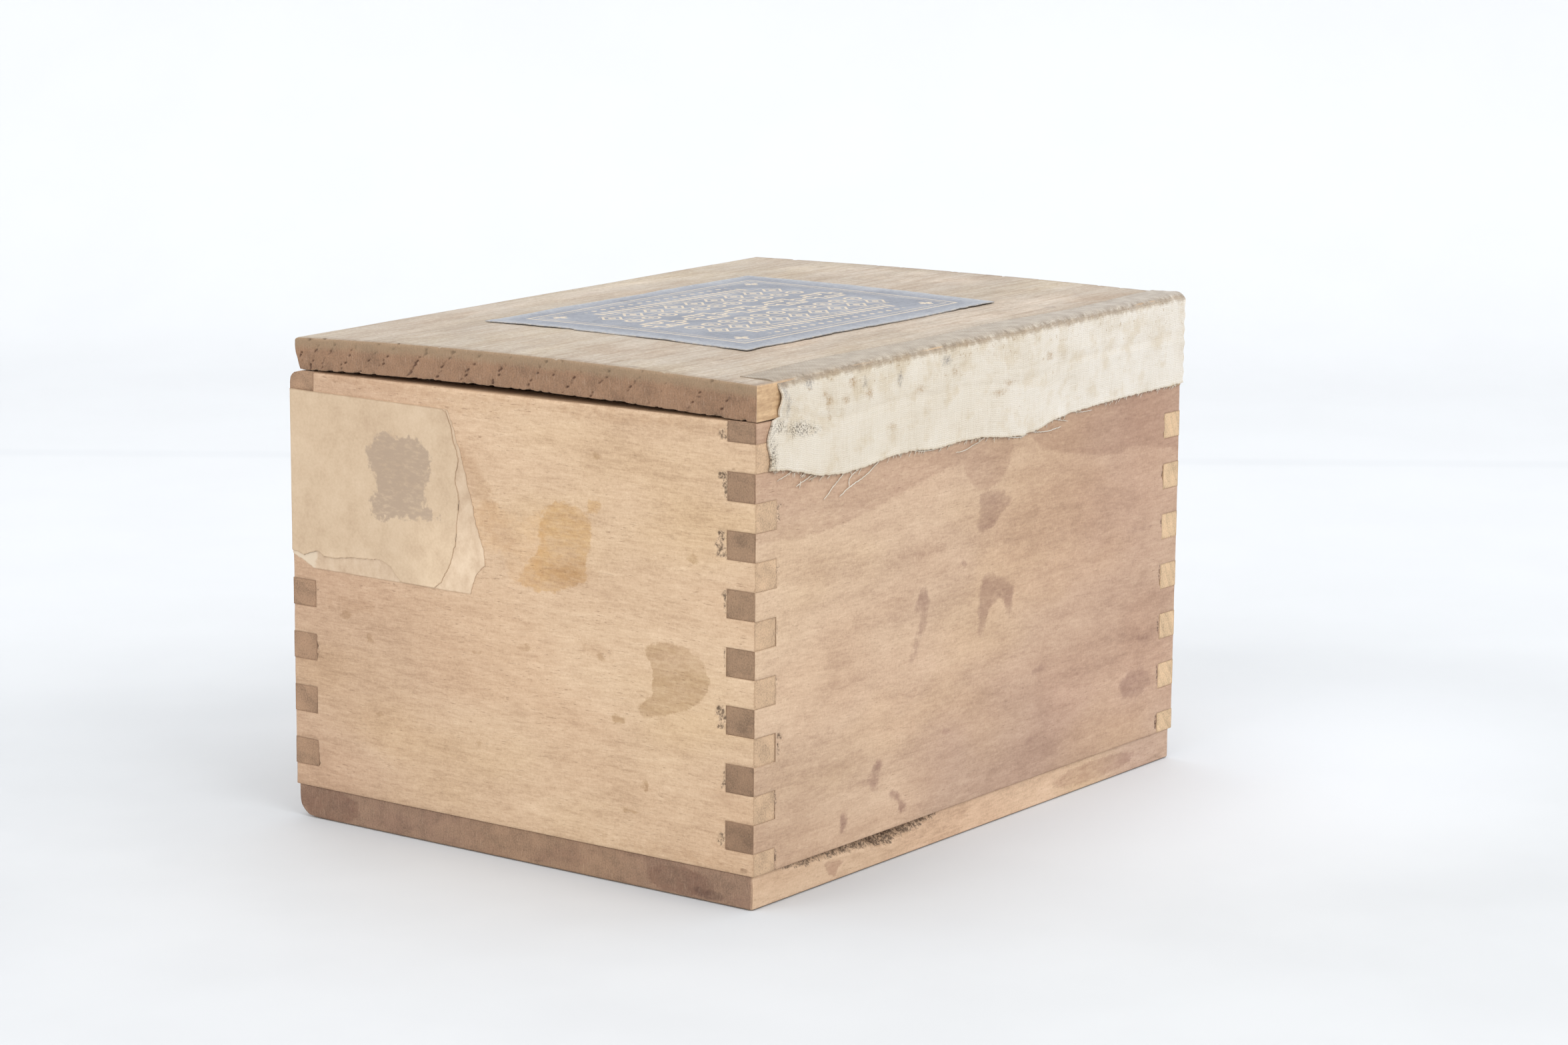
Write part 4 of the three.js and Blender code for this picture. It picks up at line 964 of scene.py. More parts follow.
def make_tape():
    xs = np.concatenate([np.arange(-75.1, 71.3, 0.48), [71.4]])
    rows = []
    for x in xs:
        rows.append(tape_path(float(x), 0))
    A_ = np.array(rows)                                   # (nx, nt, 2)
    nx, nt = A_.shape[:2]
    # arc length along the strip, and normals in the YZ plane
    d = np.zeros((nx, nt))
    d[:, 1:] = np.cumsum(np.hypot(np.diff(A_[:, :, 0], axis=1), np.diff(A_[:, :, 1], axis=1)), axis=1)
    tan = np.gradient(A_, axis=1)
    L = np.hypot(tan[..., 0], tan[..., 1])
    ny, nz = tan[..., 1] / L, -tan[..., 0] / L            # outward
    xx = np.repeat(xs[:, None], nt, 1)
    # the near end is cut back further on the lid than on the wall, and both ends are ragged
    fold_i = 15
    tt = np.arange(nt)[None, :]
    near = np.where(tt <= fold_i, 71.4 - 0.5 * np.sin(d * 0.9) - 0.5 * step(d, 7.0, 9.5), 68.5 + 0.35 * np.sin(d * 1.3))
    near = np.where(tt > fold_i + 16, 69.6, near)
    ramp_ = step(xx, 60.0, 71.4)
    xx = xx - ramp_ * (71.4 - near)
    far_rag = step(xx, -73.5, -75.1)
    xx = xx + far_rag * 0.25 * np.sin(d * 2.1)
    Pm = np.stack([xx, A_[..., 0], A_[..., 1]], -1).reshape(-1, 3)
    flat = np.stack([xs[:, None] + 0 * d, d + 0.0 * xx, 0 * d], -1).reshape(-1, 3)
    # slack: soft swellings over the fold, the near end lifting off the lid, a dip where the cloth crosses the gap
    Sx = np.stack([xx.ravel() * 1.0, d.ravel() * 2.0, 0 * d.ravel()], 1)
    swell = 0.16 * (fbm(Sx, 0.05, 3, 61) + 0.35) + 0.05 * fbm(Sx, 0.35, 2, 62)
    dd, tt2 = d.ravel(), np.repeat(tt, nx, 0).ravel()
    zz_ = A_[..., 1].ravel()
    lift = 0.55 * np.exp(-((xx.ravel() - 68.5) / 2.4) ** 2) * step(zz_, FOLD_Z + 0.3, FOLD_Z + 3.0) * step(tt2, fold_i + 15, fold_i + 9)
    fold_dip = -0.10 * np.exp(-((dd - 10.9) / 0.9) ** 2)
    hemlift = 0.12 * np.exp(-(dd / 0.8) ** 2) * (fbm(Sx, 0.2, 2, 66) + 0.6)
    off = 0.04 + np.clip(swell, 0, 1) + lift + fold_dip + hemlift
    N_ = np.stack([0 * dd, ny.ravel(), nz.ravel()], 1)
    lapping = step(tt2, fold_i + 17, fold_i + 30)
    off = off * (1 - 0.75 * lapping)
    inner = Pm + N_ * np.clip(off, 0.02, 2)[:, None]
    outer = Pm + N_ * (np.clip(off, 0.02, 2) + TAPE_T * (1 - 0.62 * lapping))[:, None]
    n = nx * nt
    V = np.concatenate([outer, inner])
    I = np.arange(n).reshape(nx, nt)
    Fs = []
    a, b, c, e = I[:-1, :-1].ravel(), I[1:, :-1].ravel(), I[1:, 1:].ravel(), I[:-1, 1:].ravel()
    for q in zip(a, b, c, e):
        Fs.append((q[0], q[1], q[2], q[3]))
        Fs.append((q[0] + n, q[3] + n, q[2] + n, q[1] + n))
    ring = list(I[:, 0]) + list(I[-1, 1:]) + list(I[-2::-1, -1]) + list(I[0, -2:0:-1])
    for p, q in zip(ring, ring[1:] + ring[:1]):
        Fs.append((p, p + n, q + n, q))
    fl = np.concatenate([flat, flat])
    edge_d = np.concatenate([np.minimum(dd, (d[:, -1:] - d).ravel())] * 2)
    attrs = {"flat": fl, "hem": edge_d, "fold": np.concatenate([np.abs(dd - 10.9)] * 2)}
    xr, zr = Pm[:, 0], dd
    crest = np.interp(tt2, [0, fold_i, fold_i + 12, fold_i + 19, nt], [0, 0, 0.0, 1.0, 1.0])
    attrs["lap"] = np.concatenate([crest] * 2)
    # soiling: distance fields on the unrolled strip, in x and z of the upright part
    zz = Pm[:, 2]
    soil = union(blob(xr, zz, 62.7, 87.4, 3.6, 1.15, 6), blob(xr, zz, 58.6, 86.8, 1.6, 0.4), blob(xr, zz, 68.8, 88.6, 1.6, 0.9), blob(xr, zz, 70.3, 83.2, 0.9, 2.2), blob(xr, zz, 71.0, 86.4, 0.5, 1.6))
    warm = union(blob(xr, zz, 53.4, 91.4, 0.9, 1.0), blob(xr, zz, 53.2, 88.8, 0.35, 0.6), blob(xr, zz, 48.0, 91.2, 0.8, 0.6), blob(xr, zz, 40.5, 91.5, 0.9, 0.8), blob(xr, zz, 45.9, 94.0, 0.9, 0.9), blob(xr, zz, 54.6, 92.9, 0.5, 0.5),
                 blob(xr, zz, -3.9, 86.8, 1.6, 0.4), blob(xr, zz, -7.4, 88.4, 1.2, 0.4), blob(xr, zz, 33, 84.5, 0.6, 0.4), blob(xr, zz, 24, 90.5, 0.9, 0.5), blob(xr, zz, 12, 92.5, 0.8, 0.5), blob(xr, zz, -22, 92.2, 1.0, 0.6))
    cool = union(blob(xr, zz, 59.5, 95.4, 1.0, 0.8), blob(xr, zz, 30.7, 93.2, 0.7, 1.0), blob(xr, zz, 67.2, 94.6, 0.7, 1.6), blob(xr, zz, 66.0, 92.0, 0.5, 1.4), blob(xr, zz, 42.0, 93.6, 0.5, 0.6), blob(xr, zz, 15.0, 95.0, 1.2, 0.8))
    attrs["warm"] = np.concatenate([warm] * 2)
    attrs["cool"] = np.concatenate([cool] * 2)
    attrs["high"] = np.concatenate([step(zz, 86.5, 97.0)] * 2)
    attrs["soil"] = np.concatenate([soil] * 2)
    return V, Fs, attrs, ring


def linen(name):
    t = Tree(name, 0.85, 0.2)
    fl = t.attr("flat", "Vector")
    x, y, z = t.xyz(fl)
    pitch = 0.38
    wob = t.noise(fl, 0.35, 2.0)
    wob = t.mul(t.add(wob, -0.5), 0.35)
    xs, ys = t.math("DIVIDE", t.add(x, wob), pitch), t.math("DIVIDE", t.add(y, wob), pitch)
    sx, sy = t.math("SINE", t.mul(xs, math.pi)), t.math("SINE", t.mul(ys, math.pi))
    cx, cy = t.math("ABSOLUTE", sx), t.math("ABSOLUTE", sy)
    # plain weave: at each crossing one thread is on top
    check = t.math("SIGN", t.mul(sx, sy))
    over = t.ramp(check, -1, 1, 0, 1, "LINEAR")
    warp_h = t.mul(cy, t.ramp(t.math("COSINE", t.mul(xs, math.pi)), -1.0, 1.0, 0.35, 1.0, "LINEAR"))
    h1 = t.mul(cx, t.add(0.55, t.mul(over, 0.45)))
    h2 = t.mul(cy, t.add(1.0, t.mul(over, -0.45)))
    h = t.math("MAXIMUM", h1, h2)
    slub = t.noise(t.join(t.mul(x, 0.12), t.mul(y, 2.2), 0.0), 1.3, 3.0, 0.6)
    slub2 = t.noise(t.join(t.mul(x, 2.2), t.mul(y, 0.2), 4.0), 1.3, 3.0, 0.6)
    tone = t.add(t.mul(slub, 0.45), t.mul(slub2, 0.35), t.mul(t.noise(fl, 0.09, 3.0, 0.6), 0.65))
    col = t.grad(tone, [(0.45, (0.63, 0.545, 0.415)), (0.68, (0.785, 0.715, 0.590)), (0.92, (0.85, 0.795, 0.690))])
    col = t.mix(t.mul(t.ramp(h, 0.75, 0.3), t.ramp(slub, 0.35, 0.7, 0.14, 0.42)), col, (0.62, 0.54, 0.43), "MULTIPLY")
    # fox marks, dust in the weave, grey dirt along the lid's arris and on the lap
    hi = t.attr("high")
    blotch = t.ramp(t.add(t.noise(fl, 0.16, 4.0, 0.62), t.mul(hi, 0.07)), 0.50, 0.68)
    col = t.mix(t.mul(blotch, 0.42), col, (0.80, 0.71, 0.56), "MULTIPLY")
    zone = t.ramp(t.noise(fl, 0.07, 2.0), 0.40, 0.64)
    fox = t.ramp(t.add(t.noise(fl, 0.75, 4.0, 0.7), t.mul(hi, 0.03)), 0.605, 0.72)
    col = t.mix(t.mul(t.mul(fox, t.ramp(t.add(zone, hi), 0.35, 1.5)), 0.75), col, (0.60, 0.47, 0.33), "MULTIPLY")
    dots = t.mul(t.ramp(t.noise(fl, 1.9, 3.0, 0.7), 0.655, 0.74), t.ramp(t.add(zone, hi), 0.4, 1.5))
    col = t.mix(t.mul(dots, 0.7), col, (0.40, 0.34, 0.28), "MULTIPLY")
    rg = t.mul(t.add(t.noise(fl, 1.2, 4.0, 0.7), -0.5), 1.0)
    thread = t.ramp(t.noise(fl, 2.6, 2.0, 0.6), 0.38, 0.6)
    for key, tint, k1 in (("warm", (0.60, 0.46, 0.32), 3.2), ("cool", (0.46, 0.46, 0.50), 3.2)):
        m = t.ramp(t.add(t.attr(key), t.mul(rg, k1)), 0.7, -0.7)
        col = t.mix(t.mul(t.mul(m, t.ramp(thread, 0.0, 1.0, 0.45, 1.0)), 0.85), col, tint, "MULTIPLY")
    lap = t.attr("lap")
    g = t.ramp(t.add(lap, t.mul(t.add(t.noise(fl, 0.6, 4.0, 0.65), -0.5), 0.7)), 0.22, 0.80)
    col = t.mix(t.mul(g, 0.94), col, t.mix(t.ramp(t.noise(fl, 0.35, 4.0, 0.6), 0.3, 0.7), (0.300, 0.250, 0.192), (0.425, 0.368, 0.295)))
    col = t.mix(t.mul(t.mul(g, t.ramp(h, 0.62, 0.25)), 0.5), col, (0.60, 0.54, 0.46), "MULTIPLY")
    arris = t.math("ABSOLUTE", t.add(lap, -0.42))
    col = t.mix(t.mul(t.ramp(t.add(arris, t.mul(t.add(t.noise(fl, 0.7, 4.0, 0.68), -0.5), 0.7)), 0.34, 0.02), 0.75), col, (0.48, 0.40, 0.32), "MULTIPLY")
    col = t.mix(t.mul(t.mul(g, t.ramp(x, 46.0, 68.0)), 0.6), col, (0.80, 0.76, 0.71), "MULTIPLY")
    s = t.add(t.attr("soil"), t.mul(rg, 4.0))
    speck = t.ramp(t.noise(fl, 2.6, 2.0, 0.6), 0.43, 0.6)
    col = t.mix(t.mul(t.mul(t.ramp(s, 0.8, -0.8), speck), 0.88), col, (0.20, 0.18, 0.17), "MULTIPLY")
    hem = t.ramp(t.attr("hem"), 0.5, 0.0)
    col = t.mix(t.mul(hem, 0.5), col, (0.66, 0.57, 0.44), "MULTIPLY")
    # painted shade: a faint darker line along the fold, where the cloth dips into the gap between lid and wall
    fold = t.ramp(t.attr("fold"), 0.7, 0.1)
    col = t.mix(t.mul(fold, 0.08), col, (0.62, 0.54, 0.44), "MULTIPLY")
    col = t.mix(1.0, col, t.mix(t.ramp(x, 30.0, -60.0), (0.858, 0.838, 0.832), (0.915, 0.918, 0.965)), "MULTIPLY")
    t.put(t.b.inputs["Base Color"], col)
    t.b.inputs["Sheen Weight"].default_value = 0.15
    t.b.inputs["Sheen Roughness"].default_value = 0.5
    t.put(t.b.inputs["Normal"], t.bump(t.add(h, t.mul(slub, 0.8)), 0.07, 0.8))
    return t.m


def tube(points, radius, sides=6):
    """A thin closed thread along points (mm), tapering at both ends."""
    P_ = np.array(points, float)
    n = len(P_)
    T_ = np.gradient(P_, axis=0)
    T_ /= np.linalg.norm(T_, axis=1)[:, None] + 1e-9
    ref = np.array([0.3, 1.0, 0.2])
    B1 = np.cross(T_, ref)
    B1 /= np.linalg.norm(B1, axis=1)[:, None] + 1e-9
    B2 = np.cross(T_, B1)
    taper = np.clip(np.minimum(np.arange(n) + 0.5, n - 0.5 - np.arange(n)) / 1.2, 0.35, 1)
    V_, F_ = [], []
    for i in range(n):
        for s in range(sides):
            a = 2 * math.pi * s / sides
            V_.append(P_[i] + radius * taper[i] * (math.cos(a) * B1[i] + math.sin(a) * B2[i]))
    for i in range(n - 1):
        for s in range(sides):
            s2 = (s + 1) % sides
            F_.append((i * sides + s, (i + 1) * sides + s, (i + 1) * sides + s2, i * sides + s2))
    F_.append(tuple(range(sides)))
    F_.append(tuple((n - 1) * sides + s for s in reversed(range(sides))))
    return V_, F_


m_linen = linen("linen_tape")
V_, F_, A_, ring_ = make_tape()
tape = piece("hinge_tape_cloth", V_, F_, [m_linen], A_, sharp=80)
bm = bmesh.new()
bm.from_mesh(tape.data)
bmesh.ops.recalc_face_normals(bm, faces=bm.faces)
bm.to_mesh(tape.data)
bm.free()
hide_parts("hinge_tape_wall", "hinge_tape_lid")

# loose threads of the frayed hem
tv, tf = [], []
threads = [
    ([(63.8, 80.2), (64.9, 79.7), (66.9, 79.2), (68.9, 78.7)], 0.08), ([(56.6, 79.2), (57.7, 78.7), (60.2, 77.8), (63.3, 77.0)], 0.10), ([(61.9, 77.9), (61.9, 77.1), (62.0, 76.5)], 0.08),
    ([(54.8, 79.0), (55.8, 78.4), (57.7, 78.0), (59.2, 77.6)], 0.09), ([(53.1, 78.8), (54.0, 78.3), (55.1, 77.8), (56.1, 77.2)], 0.09), ([(51.0, 78.4), (51.9, 77.9), (53.0, 77.5), (53.7, 77.2)], 0.09),
    ([(47.5, 78.0), (48.2, 77.4), (49.8, 76.5), (51.4, 75.5), (53.2, 74.3), (54.5, 73.4)], 0.10), ([(42.0, 78.4), (42.9, 77.8), (45.6, 77.0), (46.6, 76.1), (47.0, 75.2), (46.5, 74.6)], 0.10),
    ([(36.4, 78.9), (37.2, 78.0), (38.3, 77.7), (40.2, 76.5), (43.4, 75.5), (46.6, 74.7), (48.4, 73.8), (49.7, 73.4)], 0.12),
    ([(25.9, 79.0), (22.6, 78.4), (19.2, 78.3), (16.0, 78.4), (12.9, 78.7)], 0.11), ([(0.2, 78.9), (1.2, 78.4), (3.0, 77.8), (4.7, 77.5), (6.5, 77.1), (8.2, 76.7), (11.1, 76.8)], 0.09),
    ([(-5.3, 78.1), (-8.4, 77.4), (-11.4, 77.0), (-14.5, 77.3)], 0.10), ([(59.4, 79.6), (60.3, 79.1), (61.3, 78.7), (62.0, 78.4)], 0.08), ([(45.6, 78.3), (45.7, 77.2), (45.8, 76.8)], 0.07),
    ([(-16.0, 77.6), (-19.0, 77.2), (-22.5, 77.0), (-27.0, 77.4)], 0.09), ([(-24.0, 79.2), (-27.0, 78.7), (-29.5, 78.2)], 0.08), ([(-31.0, 79.9), (-35.0, 79.4), (-39.0, 79.4)], 0.08),
]
for i in range(150):
    a = -74 + 145 * rnd(i, 77)
    z_a = float(np.interp(a, HX, HZ)) + 0.3
    L_ = 0.5 + 1.1 * rnd(i, 78) ** 2
    sl = 0.2 + 1.0 * rnd(i, 79)
    threads.append(([(a, z_a), (a + sl * 0.5 * L_, z_a - 0.2 - L_ * 0.45), (a + sl * L_, z_a - 0.2 - L_ * 0.8)], 0.05 + 0.025 * rnd(i, 80)))
for pts, r in threads:
    c = np.array(pts, float)
    s = np.concatenate([[0], np.cumsum(np.hypot(*np.diff(c, axis=0).T))])
    q = np.linspace(0, s[-1], max(6, int(s[-1] / 0.55)))
    # gentle curve through the points
    xs_, zs_ = np.interp(q, s, c[:, 0]), np.interp(q, s, c[:, 1])
    ker = np.array([0.25, 0.5, 0.25])
    for _ in range(3):
        xs_[1:-1] = np.convolve(xs_, ker, "valid")
        zs_[1:-1] = np.convolve(zs_, ker, "valid")
    wig = 0.05 * np.sin(q * 5.0 + r * 900)
    ys_ = YO + r + 0.05 + 0.18 * np.exp(-q / 1.2) + 0.22 * np.abs(np.sin(q * 0.9 + r * 300)) * np.clip(q / s[-1], 0, 1)
    V1, F1 = tube(np.stack([xs_, ys_, zs_ + wig], 1), r)
    n0 = len(tv)
    tv += [list(p) for p in V1]
    tf += [tuple(n0 + k for k in f_) for f_ in F1]
tv = np.array(tv)
fray = piece("hinge_tape_fray", tv, tf, [m_linen], {
    "flat": np.stack([tv[:, 0] * 3.1, tv[:, 2] * 0.2, 0 * tv[:, 0]], 1), "hem": np.full(len(tv), 2.0), "fold": np.full(len(tv), 5.0),
    "lap": np.zeros(len(tv)), "soil": np.full(len(tv), 9.0), "warm": np.full(len(tv), 9.0), "cool": np.full(len(tv), 9.0), "high": np.zeros(len(tv))}, sharp=80)
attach(fray, "box")
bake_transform(tape)

# ------------------------------------------------------------------ paper label on the lid
LC = np.array([[46.4, 33.4], [-37.9, 34.2], [-43.6, -33.6], [42.3, -34.6]])      # corners, hinge side first
lu = np.linspace(0, 1, 108)
lv = np.linspace(0, 1, 86)
Uu, Vv = np.meshgrid(lu, lv, indexing="ij")
B_ = ((1 - Uu) * (1 - Vv))[..., None] * LC[0] + (Uu * (1 - Vv))[..., None] * LC[1] + (Uu * Vv)[..., None] * LC[2] + ((1 - Uu) * Vv)[..., None] * LC[3]
PW, PH = 85.4, 68.0
lu_mm, lv_mm = Uu * PW, Vv * PH
ed = np.minimum(np.minimum(lu_mm, PW - lu_mm), np.minimum(lv_mm, PH - lv_mm))
S = np.stack([lu_mm.ravel(), lv_mm.ravel(), 0 * lu_mm.ravel()], 1)
nib = np.clip(fbm(S, 0.55, 3, 81), 0, 1).reshape(Uu.shape) * 0.55 + np.clip(fbm(S, 0.13, 2, 82) - 0.25, 0, 1).reshape(Uu.shape) * 1.1
shrink = step(ed, 1.2, 0.0) * nib
XY = B_.copy()
XY[..., 0] -= -shrink * np.sign(lu_mm - PW / 2) * (np.minimum(lu_mm, PW - lu_mm) < 1.2) * 1.0
XY[..., 1] -= shrink * np.sign(PH / 2 - lv_mm) * (np.minimum(lv_mm, PH - lv_mm) < 1.2) * 1.0
cockle = 0.05 * (fbm(S, 0.06, 3, 83) + 0.6).reshape(Uu.shape) + 0.16 * step(ed, 3.0, 0.0) * np.clip(fbm(S, 0.09, 2, 84) + 0.25, 0, 1).reshape(Uu.shape)
zt = lid_surface(XY[..., 0], XY[..., 1]) + 0.09 + cockle
nx_, ny_ = Uu.shape
topP = np.stack([XY[..., 0], XY[..., 1], zt + 0.14], -1).reshape(-1, 3)
botP = np.stack([XY[..., 0], XY[..., 1], zt - 0.03], -1).reshape(-1, 3)
n = nx_ * ny_
I = np.arange(n).reshape(nx_, ny_)
Fs = []
for q in zip(I[:-1, :-1].ravel(), I[1:, :-1].ravel(), I[1:, 1:].ravel(), I[:-1, 1:].ravel()):
    Fs.append((q[0], q[1], q[2], q[3]))
    Fs.append((q[0] + n, q[3] + n, q[2] + n, q[1] + n))
ring = list(I[:, 0]) + list(I[-1, 1:]) + list(I[-2::-1, -1]) + list(I[0, -2:0:-1])
for p, q in zip(ring, ring[1:] + ring[:1]):
    Fs.append((p, p + n, q + n, q))
lab = np.stack([lu_mm.ravel(), lv_mm.ravel(), 0 * lu_mm.ravel()], 1)


def label_material():
    t = Tree("label_paper", 0.5, 0.4)
    q = t.attr("lab", "Vector")
    wob = t.vec("SCALE", t.vec("ADD", t.join(t.noise(q, 0.6, 2.0), t.noise(t.vec("ADD", q, (40.0, 0, 0)), 0.6, 2.0), 0.0), (-0.5, -0.5, 0.0)), 0.28)
    p = t.vec("ADD", q, wob)
    u, v, _ = t.xyz(p)
    cu, cv = t.add(u, -PW / 2), t.add(v, -PH / 2)
    au, av = t.math("ABSOLUTE", cu), t.math("ABSOLUTE", cv)

    def box_d(hw, hh):
        return t.math("MAXIMUM", t.add(au, -hw), t.add(av, -hh))

    def stroke(d, w):
        return t.ramp(t.math("ABSOLUTE", d), w, w * 0.55)

    def both(*m):
        out = m[0]
        for k in m[1:]:
            out = t.math("MAXIMUM", out, k)
        return out

    d1, d2 = box_d(PW / 2 - 6.6, PH / 2 - 5.6), box_d(PW / 2 - 8.2, PH / 2 - 7.2)
    gold = both(stroke(d1, 0.34), stroke(d2, 0.18))
    # corner quatrefoils
    ku, kv = t.add(au, -(PW / 2 - 11.4)), t.add(av, -(PH / 2 - 10.2))
    ang = t.math("ARCTAN2", kv, ku)
    rad = t.vec("LENGTH", t.join(ku, kv, 0.0))
    petal = t.add(rad, t.mul(t.math("ABSOLUTE", t.math("COSINE", t.mul(ang, 2.0))), -1.3), -0.55)
    gold = both(gold, t.ramp(petal, 0.12, -0.12))
    def near(coord, period):
        return t.math("PINGPONG", coord, period / 2)

    def length2(a, b):
        return t.vec("LENGTH", t.join(a, b, 0.0))

    def within(half):
        return t.ramp(au, half + 0.1, half - 0.1)

    # middle row: blank jigsaw shapes, a knob on each side and a notch above and below
    w = near(au, 13.2)
    body = t.math("MAXIMUM", t.add(w, -3.3), t.add(av, -3.3))
    knob = t.math("MINIMUM", t.add(length2(t.add(w, -4.5), cv), -1.3), t.math("MAXIMUM", t.add(t.math("ABSOLUTE", t.add(w, -3.4)), -0.8), t.add(av, -0.7)))
    notch = t.math("MINIMUM", t.add(length2(w, t.add(av, -2.2)), -1.15), t.math("MAXIMUM", t.add(w, -0.6), t.add(t.math("ABSOLUTE", t.add(av, -3.4)), -0.9)))
    shape = t.math("MAXIMUM", t.math("MINIMUM", body, knob), t.mul(notch, -1.0))
    gold = both(gold, t.mul(stroke(shape, 0.5), within(32.0)))
    # rings, lozenges, upright bars and beads, the same above and below
    w = near(au, 5.3)
    av1 = t.add(av, -7.9)
    gold = both(gold, t.mul(stroke(t.add(length2(w, av1), -1.75), 0.42), within(28.9)), t.mul(t.ramp(length2(w, av1), 0.75, 0.5), within(28.9)))
    w = near(au, 6.6)
    av2 = t.math("ABSOLUTE", t.add(av, -14.0))
    gold = both(gold, t.mul(stroke(t.add(w, av2, -2.5), 0.5), within(29.6)), t.mul(t.ramp(t.add(w, av2), 1.15, 0.9), within(29.6)))
    w = near(au, 2.1)
    av3 = t.math("ABSOLUTE", t.add(av, -20.0))
    gold = both(gold, t.mul(t.mul(t.ramp(w, 0.62, 0.4), t.ramp(av3, 1.75, 1.5)), within(24.5)))
    w = near(au, 2.9)
    gold = both(gold, t.mul(t.ramp(length2(w, t.add(av, -24.2)), 0.75, 0.5), within(23.0)))
    for vc in (10.9, 17.3):
        gold = both(gold, t.mul(stroke(t.add(av, -vc), 0.2), within(27.0)))
    # worn print and paper
    wear = t.noise(q, 0.9, 4.0, 0.65)
    rub = t.noise(q, 0.10, 3.0, 0.6)
    gold = t.mul(gold, t.ramp(t.add(wear, t.mul(rub, 0.35)), 0.44, 0.62, 0.30, 1.0))
    fibre = t.noise(q, 2.2, 3.0, 0.6)
    tone = t.add(t.mul(rub, 0.7), t.mul(fibre, 0.3))
    blue = t.grad(tone, [(0.3, (0.145, 0.154, 0.180)), (0.5, (0.198, 0.206, 0.233)), (0.72, (0.290, 0.293, 0.310))])
    col = t.mix(gold, blue, t.mix(t.ramp(fibre, 0.35, 0.7), (0.445, 0.362, 0.268), (0.59, 0.495, 0.380)))
    ed = t.math("MINIMUM", t.math("MINIMUM", t.xyz(q)[0], t.add(PW, t.mul(t.xyz(q)[0], -1.0))), t.math("MINIMUM", t.xyz(q)[1], t.add(PH, t.mul(t.xyz(q)[1], -1.0))))
    worn = t.ramp(t.add(ed, t.mul(t.add(wear, -0.5), 5.0)), 5.0, 0.0)
    col = t.mix(t.mul(worn, 0.5), col, (0.37, 0.375, 0.39))
    lost = t.ramp(t.add(ed, t.mul(t.add(wear, -0.5), 4.0)), 0.5, -0.4)
    col = t.mix(t.mul(lost, 0.8), col, (0.46, 0.42, 0.37))
    scuffs = t.ramp(t.noise(t.join(t.mul(u, 0.9), t.mul(v, 0.35), 0.0), 1.1, 5.0, 0.7), 0.56, 0.72)
    col = t.mix(t.mul(scuffs, 0.35), col, (0.44, 0.43, 0.43))
    specks = t.ramp(t.noise(q, 1.1, 3.0, 0.7), 0.70, 0.76)
    col = t.mix(t.mul(specks, 0.6), col, (0.42, 0.38, 0.33))
    dk = t.ramp(t.add(t.vec("LENGTH", t.vec("ADD", q, (-38.0, -63.5, 0.0))), t.mul(wear, 2.5)), 2.9, 1.6)
    col = t.mix(t.mul(dk, 0.6), col, (0.075, 0.08, 0.10))
    t.put(t.b.inputs["Base Color"], col)
    t.put(t.b.inputs["Roughness"], t.ramp(wear, 0.2, 0.8, 0.42, 0.62))
    t.put(t.b.inputs["Normal"], t.bump(t.add(fibre, t.mul(gold, -0.4)), 0.03, 0.6))
    return t.m


label = piece("lid_paper_label", np.concatenate([topP, botP]), Fs, [label_material()], {"lab": np.concatenate([lab, lab])})
bm = bmesh.new()
bm.from_mesh(label.data)
bmesh.ops.recalc_face_normals(bm, faces=bm.faces)
bm.to_mesh(label.data)
bm.free()
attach(label, "lid")
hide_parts("lid_label")


# ------------------------------------------------------------------ torn paper seal
def dense(poly, spacing, amp, seed, closed=True, keep=()):
    """A polygon resampled with ragged sides; keep holds the sides (by index) that stay straight."""
    out = []
    n = len(poly)
    for i in range(n if closed else n - 1):
        a, b = np.array(poly[i], float), np.array(poly[(i + 1) % n], float)
        L = np.hypot(*(b - a))
        m = max(1, int(L / spacing))
        nrm = np.array([-(b - a)[1], (b - a)[0]]) / (L + 1e-9)
        for k in range(m):
            p = a + (b - a) * k / m
            q = 0.0
            if i not in keep and k > 0:
                S_ = np.array([[p[0], p[1], seed]])
                q = amp * float(fbm(S_, 0.5, 3, seed)[0]) + amp * 0.5 * float(fbm(S_, 1.8, 2, seed + 3)[0])
            elif i in keep and k > 0:
                q = 0.05 * float(fbm(np.array([[p[0], p[1], seed]]), 0.4, 2, seed)[0])
            out.append(p + nrm * q)
    return np.array(out)


